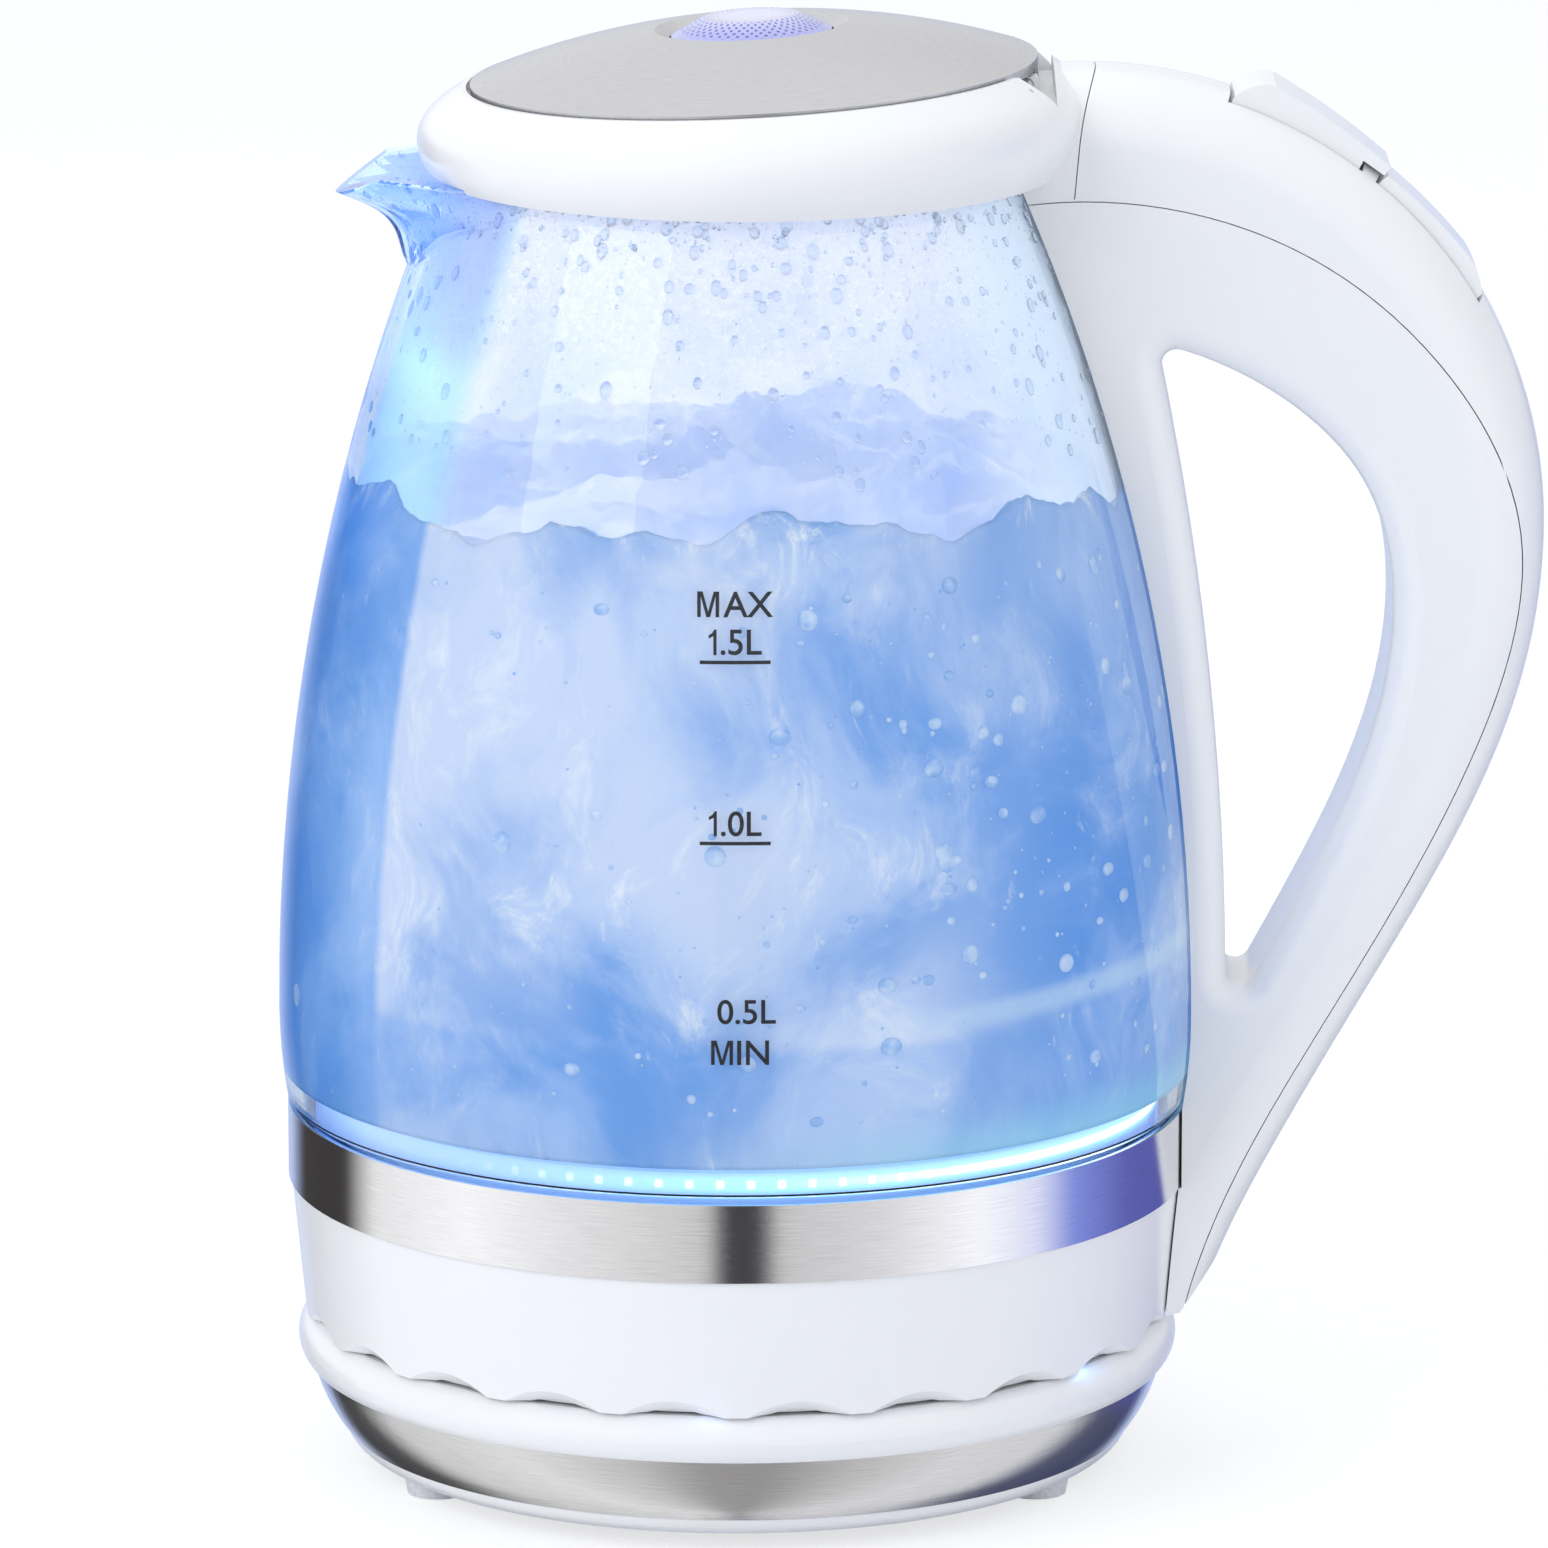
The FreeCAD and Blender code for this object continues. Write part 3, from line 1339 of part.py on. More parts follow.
spout_cut = shaped("spout_space", spout_solid(-0.5, 0.2))
latch_cut = shaped("latch_space", latch_slot.copy())
screw_cuts = [shaped("screw_space", bore) for bore in bores]
collar_cuts = doc.addObject("Part::MultiFuse", "collar_cuts")
collar_cuts.Shapes = [
    bore_cut, seat_cut, seal_cut, hinge_cut, pin_cut, glass_cut, spout_cut, latch_cut,
] + screw_cuts
collar = doc.addObject("Part::Cut", "top_collar")
collar.Base = collar_block
collar.Tool = collar_cuts
node(collar, "top_collar")

# Lid, drawn in its own frame

hinge_pin = doc.addObject("Part::Cylinder", "hinge_pin")
bind(hinge_pin, Radius=dim.hinge_pin, Height=pin_length)
hinge_pin.Placement = pin_place
node(hinge_pin, "hinge_pin")

spring_radius = dim.hinge_pin.value + dim.spring_wire.value + 0.3
spring_pitch = 2 * dim.spring_wire.value + 0.6
spring_length = spring_pitch * dim.spring_turns.value
helix = Part.makeHelix(spring_pitch, spring_length, spring_radius)
wire_end = Part.makeCircle(dim.spring_wire.value, Vector(spring_radius, 0, 0), Vector(0, 1, 0))
coil = Part.Wire(helix).makePipeShell([Part.Wire([wire_end])], True, True)
coil_place = lid_frame.multiply(Placement(
    Vector(hinge_x.value, spring_length / 2, -dim.hinge_drop.value), Rotation(Vector(1, 0, 0), 90)
))
lid_spring = shaped("lid_spring", coil, coil_place)
node(lid_spring, "lid_spring")

cap_edge = lid_radius
eye = dim.window_radius + dim.seat_gap
dome_foot = size(0.5)
dome_top = dome_foot + dim.dome_rise
cap = turned(
    "lid_cap",
    (cap_edge - dim.cap_wall, -1.2), (cap_edge, -1.2), (cap_edge, dome_foot), Bend(dim.dome_curve),
    (eye + 2.6, dome_top), (eye, dome_top - 1.4), (eye, dome_top - 1.4 - dim.cap_wall),
    (eye + 2.4, dome_top - dim.cap_wall), Bend(dim.dome_curve - dim.cap_wall, left=False),
    (cap_edge - dim.cap_wall, dome_foot - dim.cap_wall + 0.1),
)
node(on_lid(cap), "lid_cap")

window_foot = dome_top - 1.4 - dim.cap_wall - dim.part_gap
window = turned(
    "lid_window",
    (0, window_foot - 1), (dim.window_radius + 1.7, window_foot - 1), (dim.window_radius + 1.7, window_foot),
    (dim.window_radius, window_foot), (dim.window_radius, window_foot + 1.1),
    (dim.window_radius * 0.6, window_foot + dim.window_rise + 0.6), (0, window_foot + dim.window_rise + 0.8),
)
node(on_lid(window), "lid_window")

deck = size(-1.4)
flange_radius = cap_edge - dim.cap_wall - dim.seat_gap
plug_inner = plug_radius - dim.plug_wall
lid_body = turned(
    "lid_body",
    (dim.window_radius - 2, deck), (plug_inner, deck), (plug_inner, -dim.plug_depth),
    (plug_radius, -dim.plug_depth), (plug_radius, deck), (flange_radius, deck), (flange_radius, deck + 1.1),
    (plug_radius - 1, deck + 2), (dim.window_radius + 2, deck + 2), (dim.window_radius + 2, window_foot - 1),
    (dim.window_radius - 2, window_foot - 1),
)
liner_top = -dim.plug_depth + 1.2
ring_of(lid_body, raise_up(lid_body, liner_top, deck - liner_top + 0.5, Ring(lid_screw_circle, 0, 3)), 3)
ring_of(lid_body, drill_up(lid_body, liner_top, 6, Ring(lid_screw_circle, 0, screw_hole)), 3)
lug_radius = dim.hinge_pin + 1.15
for side in (-1, 1):
    across(lid_body, "Pad", 4, Ring(hinge_x, -dim.hinge_drop, lug_radius), offset=11 * side)
across(lid_body, "Pocket", dim.hinge_width, Ring(hinge_x, -dim.hinge_drop, dim.hinge_pin + dim.pin_gap))
across(lid_body, "Pocket", 17, Ring(hinge_x, -dim.hinge_drop, spring_radius + dim.spring_wire.value + 0.4))
turn(
    lid_body, (flange_radius, deck - 0.2), (flange_radius + 5, deck - 0.2), (flange_radius + 5, dome_top),
    (flange_radius, dome_top), cut=True,
)
node(on_lid(lid_body), "lid_body")

lid_seal = turned(
    "lid_seal",
    (plug_radius, -dim.plug_depth + 2.8), (plug_radius + 0.9, -dim.plug_depth + 3.4),
    (plug_radius + 0.9, -dim.plug_depth + 4.2), (plug_radius, -dim.plug_depth + 5),
)
across(lid_seal, "Pocket", 40, Ring(hinge_x, -dim.hinge_drop, lug_radius + 0.3))
node(on_lid(lid_seal), "lid_seal")

liner = new_body("lid_liner")
raise_up(liner, liner_top - 0.8, 0.8, Ring(0, 0, plug_inner - dim.part_gap))
ring_of(liner, drill_up(liner, liner_top - 1, 2, Ring(lid_screw_circle, 0, screw_hole)), 3)
ring_of(liner, drill_up(liner, liner_top - 1, 2, Ring(lid_screw_circle - 12, 0, 2)), 8)
node(on_lid(liner), "lid_liner")

lid_screws = []
for number in range(3):
    item = screw("lid_screw", 5)
    place = polar(lid_screw_circle, 120 * number, (liner_top - 0.8).value)
    item.Placement = lid_frame.multiply(Placement(place, Rotation()))
    lid_screws.append(item)
group("lid_screws", lid_screws)

# Controls in the handle; each is drawn in its own frame, X down the handle and Z out of it

def in_frame(item, frame):
    item.Placement = frame
    return item


pivot_pins = []
for frame, reach in pivots:
    pivot_pin = doc.addObject("Part::Cylinder", "pivot_pin")
    bind(pivot_pin, Radius=dim.hinge_pin, Height=pivot_length)
    pivot_pin.Placement = pivot_place(frame, reach, pivot_length.value)
    pivot_pins.append(pivot_pin)
group("button_pins", pivot_pins)

drop_front = handle_curve - math.sqrt(handle_curve ** 2 - dim.lid_button_front.value ** 2)
button = new_body("lid_button")
across(button, "Pad", dim.button_width, (
    (-dim.lid_button_front, -dim.button_depth), (dim.lid_button_back, -dim.button_depth),
    (dim.lid_button_back, -0.7), (dim.lid_button_back + 4.4, -1.3), (dim.lid_button_back + 4.7, 0.5),
    Bend(handle_curve * 1.6), (-dim.lid_button_front + 5.4, dim.lid_button_crest),
    Bend(9), (-dim.lid_button_front, -drop_front),
))
stem_front = -dim.lid_button_front + 4
stem_back = stem_front + 5
stem_end = -dim.button_depth - 7
across(button, "Pad", 6, (
    (stem_front, stem_end), (stem_back, stem_end), (stem_back, -dim.button_depth + 1),
    (stem_front, -dim.button_depth + 1),
))
across(button, "Pocket", dim.button_width + 2, Ring(button_pivot, -pivot_depth, pivot_hole))
node(in_frame(button, lid_button_frame), "lid_button")

lever_tip = steam_frame.multVec(Vector(0.9, 0, 9.5 - steam_depth))
prong = switch_frame.inverse().multVec(lever_tip).x + 0.5
drop_back = handle_curve - math.sqrt(handle_curve ** 2 - dim.switch_back.value ** 2)
power = new_body("power_switch")
across(power, "Pad", dim.button_width, (
    (-dim.switch_front, -dim.button_depth), (dim.switch_back, -dim.button_depth),
    (dim.switch_back, -drop_back), Bend(14), (dim.switch_back - 6.4, dim.switch_crest - 0.1),
    Bend(handle_curve * 1.2), (-dim.switch_front + 0.2, dim.switch_crest - 1.0),
    (-dim.switch_front, -0.6),
))
across(power, "Pad", 5, (
    (prong, -dim.button_depth - 9), (prong + 2.2, -dim.button_depth - 9), (prong + 2.2, -dim.button_depth + 1),
    (prong, -dim.button_depth + 1),
))
across(power, "Pocket", dim.button_width + 2, Ring(switch_pivot, -pivot_depth, pivot_hole))
node(in_frame(power, switch_frame), "power_switch")

latch = new_body("lid_latch")
stem_low = lid_button_frame.multVec(Vector(stem_front.value, 0, stem_end.value))
stem_high = lid_button_frame.multVec(Vector(stem_back.value, 0, -dim.button_depth.value))
latch_travel = 3.0
window_front = stem_low.x - latch_travel - 0.6
window_back = stem_high.x + 1.2
bar_end = window_back + latch_thick
bar_low = stem_low.z - 3
knee = room_x + 1
across(latch, "Pad", 2 * latch_half, (
    (latch_nose, catch_height), (knee, catch_height), (knee + 8, bar_low), (bar_end, bar_low),
    (bar_end, bar_low + latch_thick), (knee + 9, bar_low + latch_thick), (knee + 1, catch_height + latch_thick),
    (latch_nose, catch_height + latch_thick),
))
drill_up(latch, bar_low - 1, latch_thick + 2, (
    (window_front, -3.6), (window_back, -3.6), (window_back, 3.6), (window_front, 3.6),
))
node(latch, "lid_latch")

lever_frame = steam_frame.multiply(Placement(Vector(0, 0, -steam_depth), Rotation()))
lever = new_body("switch_lever")
across(lever, "Pad", 5, Ring(0, 2.6, 2.3))
across(lever, "Pad", 3, ((-0.9, 4), (0.9, 4), (0.9, 9.5), (-0.9, 9.5)))
node(in_frame(lever, lever_frame), "switch_lever")

doc.recompute()
for item in doc.Objects:
    if "Invalid" in item.State or "Error" in item.State:
        raise RuntimeError(f"{item.Label}: {item.State}")
for item in nodes:
    if item.Shape.isNull() or not item.Shape.isValid():
        raise RuntimeError(f"{item.Label} has no valid shape")
    item.Shape.exportStep(f"parts/{item.Label}.step")
print(len(nodes), "pieces")
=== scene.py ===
import json
import math
import random

import bmesh
import bpy
from mathutils import Matrix, Vector, noise
from mathutils.bvhtree import BVHTree


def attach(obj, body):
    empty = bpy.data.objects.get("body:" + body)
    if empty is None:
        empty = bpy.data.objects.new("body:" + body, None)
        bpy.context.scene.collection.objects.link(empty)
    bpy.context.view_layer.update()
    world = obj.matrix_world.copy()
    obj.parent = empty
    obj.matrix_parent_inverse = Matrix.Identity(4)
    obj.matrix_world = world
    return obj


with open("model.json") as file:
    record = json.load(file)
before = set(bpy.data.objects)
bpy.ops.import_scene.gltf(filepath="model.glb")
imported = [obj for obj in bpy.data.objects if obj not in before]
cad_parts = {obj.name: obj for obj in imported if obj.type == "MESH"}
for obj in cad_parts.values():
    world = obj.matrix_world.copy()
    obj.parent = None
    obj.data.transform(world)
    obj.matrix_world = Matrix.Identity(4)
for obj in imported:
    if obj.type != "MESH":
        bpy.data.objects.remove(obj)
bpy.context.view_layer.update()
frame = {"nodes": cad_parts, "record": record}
nodes = frame["nodes"]
print("frame:", len(nodes), "pieces")


# shader maths


class Wire:
    # one output socket, with sums written as Python

    def __init__(self, look, socket):
        self.look = look
        self.socket = socket

    def maths(self, operation, first, second=0.0):
        return self.look.add("Math", {"operation": operation}, {0: first, 1: second})

    def __add__(self, other):
        return self.maths("ADD", self, other)

    def __radd__(self, other):
        return self.maths("ADD", other, self)

    def __sub__(self, other):
        return self.maths("SUBTRACT", self, other)

    def __rsub__(self, other):
        return self.maths("SUBTRACT", other, self)

    def __mul__(self, other):
        return self.maths("MULTIPLY", self, other)

    def __rmul__(self, other):
        return self.maths("MULTIPLY", other, self)

    def __truediv__(self, other):
        return self.maths("DIVIDE", self, other)

    def __rtruediv__(self, other):
        return self.maths("DIVIDE", other, self)

    def __pow__(self, other):
        return self.maths("POWER", self, other)

    def __rpow__(self, other):
        return self.maths("POWER", other, self)

    def __neg__(self):
        return self.maths("SUBTRACT", 0.0, self)

    def least(self, other):
        return self.maths("MINIMUM", self, other)

    def most(self, other):
        return self.maths("MAXIMUM", self, other)

    def size(self):
        return self.maths("ABSOLUTE", self)

    def wave(self):
        return self.maths("COSINE", self)

    def between(self, low, high):
        # 0 at low, 1 at high, smooth in between
        return self.look.add(
            "MapRange", {"interpolation_type": "SMOOTHSTEP"},
            {"Value": self, "From Min": low, "From Max": high, "To Min": 0.0, "To Max": 1.0},
        )


class Look:
    # a material, or the world, built node by node

    def __init__(self, owner):
        owner.use_nodes = True
        self.owner = owner
        self.tree = owner.node_tree
        self.tree.nodes.clear()

    def add(self, kind, settings=None, values=None, out=0):
        made = self.tree.nodes.new("ShaderNode" + kind)
        for key, value in (settings or {}).items():
            if key == "stops":
                self.stops(made.color_ramp, value)
            else:
                setattr(made, key, value)
        for key, value in (values or {}).items():
            if isinstance(value, Wire):
                self.tree.links.new(value.socket, made.inputs[key])
            elif made.inputs[key].type == "RGBA" and len(value) == 3:
                made.inputs[key].default_value = (*value, 1.0)
            else:
                made.inputs[key].default_value = value
        return Wire(self, made.outputs[out]) if made.outputs else None

    def stops(self, ramp, stops):
        while len(ramp.elements) < len(stops):
            ramp.elements.new(1.0)
        for element, (place, colour) in zip(ramp.elements, stops):
            element.position = place
            element.color = (*colour, 1.0)

    def place(self):
        return self.add("TexCoord", out="Object")

    def split(self, vector):
        parts = self.add("SeparateXYZ", values={0: vector}).socket.node
        return [Wire(self, socket) for socket in parts.outputs]

    def join(self, x, y, z):
        return self.add("CombineXYZ", values={0: x, 1: y, 2: z})

    def reach(self, x, y):
        # how far from the axis
        return (x * x + y * y) ** 0.5

    def bearing(self, x, y):
        # the angle round the axis
        return self.add("Math", {"operation": "ARCTAN2"}, {0: y, 1: x})

    def grain(self, vector, scale, detail=3.0, roughness=0.5, twist=0.0):
        return self.add("TexNoise", values={
            "Vector": vector, "Scale": scale, "Detail": detail, "Roughness": roughness, "Distortion": twist,
        })

    def blend(self, share, first, second):
        # a colour mix
        return self.add("Mix", {"data_type": "RGBA"}, {0: share, 6: first, 7: second}, out=2)

    def bump(self, height, strength, distance=0.0002):
        return self.add("Bump", values={"Height": height, "Strength": strength, "Distance": distance})

    def surface(self, values):
        shader = self.add("BsdfPrincipled", values=values)
        self.add("OutputMaterial", values={"Surface": shader})
        return self.owner


def newLook(name):
    return Look(bpy.data.materials.new(name))


# finishes

plastic = {
    "white": (0.93, 0.932, 0.94), "shade": (0.92, 0.924, 0.936), "roughness": 0.26,
    "coat": 0.25, "coatRoughness": 0.12, "clouds": 38.0, "pores": 2600.0,
}


def whitePlastic():
    look = newLook("white_plastic")
    place = look.place()
    cloud = look.grain(place, plastic["clouds"], 4.0)
    pores = look.grain(place, plastic["pores"], 2.0)
    return look.surface({
        "Base Color": look.blend(cloud.between(0.35, 0.7), plastic["white"], plastic["shade"]),
        "Roughness": plastic["roughness"] + (cloud - 0.5) * 0.05,
        "Coat Weight": plastic["coat"],
        "Coat Roughness": plastic["coatRoughness"],
        "Normal": look.bump(pores, 0.06),
    })


brushed = {
    "metal": (0.86, 0.862, 0.872), "dark": (0.74, 0.742, 0.755), "lines": 9000.0,
    "stretch": 0.0011, "roughness": 0.12,
}


def ringSteel():
    # brushed round the jug's axis
    look = newLook("ring_steel")
    x, y, z = look.split(look.place())
    turn = look.bearing(x, y)
    cut = look.grain(look.join(turn * brushed["stretch"], 0.0, z), brushed["lines"], 2.0, 0.6)
    return look.surface({
        "Base Color": look.blend(cut.between(0.3, 0.75), brushed["metal"], brushed["dark"]),
        "Metallic": 1.0,
        "Roughness": brushed["roughness"] + (cut - 0.5) * 0.1,
        "Normal": look.bump(cut, 0.05),
    })


dome = {
    "metal": (0.60, 0.602, 0.615), "dark": (0.50, 0.502, 0.515), "axis": 0.003,
    "lines": 8000.0, "roughness": 0.28, "spots": 420.0, "patches": 34.0, "stain": 0.5,
}


def domeSteel():
    # brushed round the lid, with faint dried spots
    look = newLook("dome_steel")
    x, y = look.split(look.place())[:2]
    x = x - dome["axis"]
    reach = look.reach(x, y)
    turn = look.bearing(x, y)
    lines = look.grain(look.join(reach, turn * brushed["stretch"], 0.0), dome["lines"], 2.0, 0.6)
    spots = look.grain(look.place(), dome["spots"], 5.0, 0.7)
    patch = look.grain(look.place(), dome["patches"], 2.0)
    stain = spots.between(0.6, 0.7) * patch.between(0.5, 0.66) * dome["stain"]
    return look.surface({
        "Base Color": look.blend(lines.between(0.3, 0.75) * 0.7 + stain, dome["metal"], dome["dark"]),
        "Metallic": 1.0,
        "Roughness": dome["roughness"] + (lines - 0.5) * 0.16 + stain * 0.2,
        "Normal": look.bump(lines, 0.06),
    })


def plainMetal(name, colour, roughness, fleck=900.0):
    look = newLook(name)
    grain = look.grain(look.place(), fleck, 4.0, 0.6)
    dull = tuple(part * 0.82 for part in colour)
    return look.surface({
        "Base Color": look.blend(grain.between(0.35, 0.7), colour, dull),
        "Metallic": 1.0,
        "Roughness": roughness + (grain - 0.5) * 0.2,
        "Normal": look.bump(grain, 0.05),
    })


def moulded(name, colour, roughness, fleck=1800.0, depth=0.12):
    look = newLook(name)
    grain = look.grain(look.place(), fleck, 3.0, 0.6)
    dull = tuple(part * 0.86 for part in colour)
    return look.surface({
        "Base Color": look.blend(grain.between(0.3, 0.7), colour, dull),
        "Roughness": roughness + (grain - 0.5) * 0.15,
        "Normal": look.bump(grain, depth),
    })


glass = {
    "tint": (0.955, 0.978, 1.0), "edge": (0.66, 0.81, 1.0), "index": 1.45,
    "side": (0.0, 0.015, 0.06), "lip": (0.035, 0.07, 0.18),
    "spoutWay": (0.82, 0.98), "sideHeight": (0.155, 0.170),
    "lipReach": (0.046, 0.056), "lipHeight": (0.190, 0.200), "smear": 0.03,
}


def clearGlass():
    # bluer on the spout's side, a painted blue that stands in for the water seen through the glass there,
    # with a faint painted glow on that side and at the lip for the ring's light
    look = newLook("clear_glass")
    smear = look.grain(look.place(), 30.0, 3.0)
    x, y, z = look.split(look.place())
    edge = (-(x / look.reach(x, y))).between(*glass["spoutWay"])
    lip = (-x).between(*glass["lipReach"]) * z.between(*glass["lipHeight"])
    # painted glow, not a lamp: faint blue light given off on the spout's side and at the lip
    glow = look.blend(edge * z.between(*glass["sideHeight"]), (0.0, 0.0, 0.0), glass["side"])
    return look.surface({
        "Base Color": look.blend(edge, glass["tint"], glass["edge"]),
        "Roughness": smear.between(0.55, 0.8) * glass["smear"],
        "Transmission Weight": 1.0,
        "IOR": glass["index"],
        "Emission Color": look.blend(lip, glow, glass["lip"]),
        "Emission Strength": 1.0,
    })


guide = {
    "count": 90, "dim": (0.06, 0.17, 0.55), "glow": (0.17, 0.62, 0.90), "dot": (1.0, 1.0, 1.0),
    "line": 0.0672, "dotBand": (0.0003, 0.0010), "haloBand": (0.0006, 0.0022),
    "dimTo": (-0.055, 0.015), "fullFrom": (0.0, 0.062), "body": (0.7, 0.9, 0.97), "strength": 1.15,
}


def lightGuide():
    # a lit ring with a bright spot over each lamp, dimmer towards the spout
    look = newLook("light_guide")
    x, y, z = look.split(look.place())
    turn = look.bearing(x, y)
    spot = (turn * float(guide["count"])).wave().between(0.45, 0.95)
    away = (z - guide["line"]).size()
    level = 1.0 - away.between(*guide["dotBand"])
    halo = 1.0 - away.between(*guide["haloBand"])
    bright = x.between(*guide["dimTo"])
    full = x.between(*guide["fullFrom"])
    colour = look.blend(halo * bright * 0.9, guide["dim"], guide["glow"])
    colour = look.blend(level * (spot * bright).most(full), colour, guide["dot"])
    return look.surface({
        "Base Color": guide["body"],
        "Roughness": 0.15,
        "Emission Color": colour,
        "Emission Strength": guide["strength"],
    })


window = {
    "tint": (0.44, 0.46, 0.84), "pale": (0.70, 0.72, 0.92), "dot": (0.10, 0.10, 0.42), "axis": 0.0027,
    "ring": 0.0015, "rays": 46.0, "dotsFrom": (0.004, 0.0085), "dotsTo": (0.0122, 0.0128),
    "shade": (0.006, 0.0125),
}


def windowPlastic():
    # cloudy plastic with rings of dots
    look = newLook("window_plastic")
    x, y = look.split(look.place())[:2]
    x = x - window["axis"]
    reach = look.reach(x, y)
    turn = look.bearing(x, y)
    rings = (reach * (2 * math.pi / window["ring"])).wave()
    rays = (turn * window["rays"]).wave()
    field = reach.between(*window["dotsFrom"]) * (1.0 - reach.between(*window["dotsTo"]))
    dots = (rings * rays).between(0.25, 0.6) * field
    cloudy = look.blend(reach.between(*window["shade"]), window["pale"], window["tint"])
    return look.surface({
        "Base Color": look.blend(dots * 0.85, cloudy, window["dot"]),
        "Roughness": 0.2 + dots * 0.2,
        "Coat Weight": 0.3,
        "Normal": look.bump(dots, 0.4, 0.0003),
    })


lens = {"body": (0.8, 0.95, 1.0), "glow": (0.6, 0.93, 1.0), "strength": 4.0}


def lampLens():
    look = newLook("led_lens")
    grain = look.grain(look.place(), 700.0)
    return look.surface({
        "Base Color": lens["body"],
        "Roughness": 0.1 + grain * 0.1,
        "Emission Color": lens["glow"],
        "Emission Strength": lens["strength"],
    })


finishes = {
    "white_plastic": whitePlastic(),
    "brushed_steel": ringSteel(),
    "plain_steel": plainMetal("plain_steel", (0.6, 0.61, 0.63), 0.25),
    "clear_glass": clearGlass(),
    "clear_plastic": lightGuide(),
    "window_plastic": windowPlastic(),
    "grey_rubber": moulded("grey_rubber", (0.80, 0.81, 0.84), 0.7, 1200.0, 0.3),
    "clear_silicone": moulded("clear_silicone", (0.8, 0.83, 0.87), 0.4),
    "brass": plainMetal("brass", (0.8, 0.6, 0.28), 0.3),
    "aluminium": plainMetal("aluminium", (0.78, 0.79, 0.8), 0.4, 500.0),
    "dark_plastic": moulded("dark_plastic", (0.06, 0.06, 0.07), 0.5),
    "board_green": moulded("board_green", (0.05, 0.22, 0.12), 0.4, 600.0),
    "led_lens": lampLens(),
    "wire_white": moulded("wire_white", (0.8, 0.8, 0.8), 0.5),
}
domed = domeSteel()
for part in frame["record"]["subparts"]:
    item = nodes[part["node"]]
    finish = domed if part["node"] == "lid_cap" else finishes[part["material_slot"]]
    item.data.materials.clear()
    item.data.materials.append(finish)
print("finishes:", len(bpy.data.materials))


# the glass wall, felt out with level rays

wall = {"step": 0.0005, "outside": 0.12}
glassTree = BVHTree.FromPolygons(
    [vertex.co.copy() for vertex in nodes["glass_jug"].data.vertices],
    [tuple(face.vertices) for face in nodes["glass_jug"].data.polygons],
)


def wallPoint(turn, height, inside):
    # where a level ray meets the glass, from the axis or from outside
    way = Vector((math.cos(turn), math.sin(turn), 0.0))
    if inside:
        hit = glassTree.ray_cast(Vector((0.0, 0.0, height)), way)
    else:
        hit = glassTree.ray_cast(way * wall["outside"] + Vector((0.0, 0.0, height)), -way)
    return hit[0], hit[1]


wallReaches = {}


def wallReach(height):
    # the inside radius at a height, away from the spout
    step = round(height / wall["step"])
    for near in (step, step + 1):
        if near not in wallReaches:
            point = wallPoint(-math.pi / 2, near * wall["step"], True)[0]
            wallReaches[near] = Vector((point.x, point.y)).length
    share = min(max(height / wall["step"] - step, 0.0), 1.0)
    return wallReaches[step] * (1 - share) + wallReaches[step + 1] * share


def newPiece(name, mesh, look, body):
    made = bpy.data.objects.new(name, mesh)
    bpy.context.scene.collection.objects.link(made)
    mesh.materials.clear()
    mesh.materials.append(look)
    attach(made, body)


def meshOf(name, points, faces, smooth=True):
    mesh = bpy.data.meshes.new(name)
    mesh.from_pydata(points, [], faces)
    mesh.update()
    if smooth:
        mesh.polygons.foreach_set("use_smooth", [True] * len(mesh.polygons))
    return mesh


# volume marks, printed on the glass

marks = {
    "height": 0.0042,
    "proud": 0.00006,
    "lines": [
        ("MAX", 0.1643, 0.0), ("1.5L", 0.1581, 0.0), ("1.0L", 0.1281, 0.0), ("0.5L", 0.0963, 0.0019),
        ("MIN", 0.0893, 0.0008),
    ],
    "rules": [(0.1569, 0.0119), (0.1269, 0.0119)],
    "ruleThick": 0.0006,
    "facing": -math.pi / 2,
    "bold": 0.010,
    "spacing": 0.16,
    "longest": (0.0012, 0.0016),
    "ink": (0.012, 0.014, 0.02),
    "worn": (0.03, 0.034, 0.045),
    "byHand": {
        "1": [
            (0.27, 0.0), (0.40, 0.0), (0.40, 1.0), (0.31, 1.0), (0.22, 0.86), (0.08, 0.77), (0.08, 0.64),
            (0.27, 0.74),
        ],
        "M": [
            (0.0, 0.0), (0.145, 0.0), (0.145, 0.80), (0.365, 0.0), (0.515, 0.0), (0.735, 0.80), (0.735, 0.0),
            (0.88, 0.0), (0.88, 1.0), (0.66, 1.0), (0.44, 0.22), (0.22, 1.0), (0.0, 1.0),
        ],
    },
}


def inkLook():
    look = newLook("mark_ink")
    worn = look.grain(look.place(), 1500.0, 4.0, 0.6)
    return look.surface({
        "Base Color": look.blend(worn.between(0.45, 0.75), marks["ink"], marks["worn"]),
        "Roughness": 0.4 + (worn - 0.5) * 0.2,
    })


def wrapped(mesh):
    # lays a flat mesh, drawn in x and y, on the front of the glass
    for vertex in mesh.vertices:
        near = wallPoint(marks["facing"], vertex.co.y, False)[0]
        reach = Vector((near.x, near.y)).length
        turn = marks["facing"] + vertex.co.x / reach
        point, facing = wallPoint(turn, vertex.co.y, False)
        vertex.co = point + facing * marks["proud"]
    mesh.update()


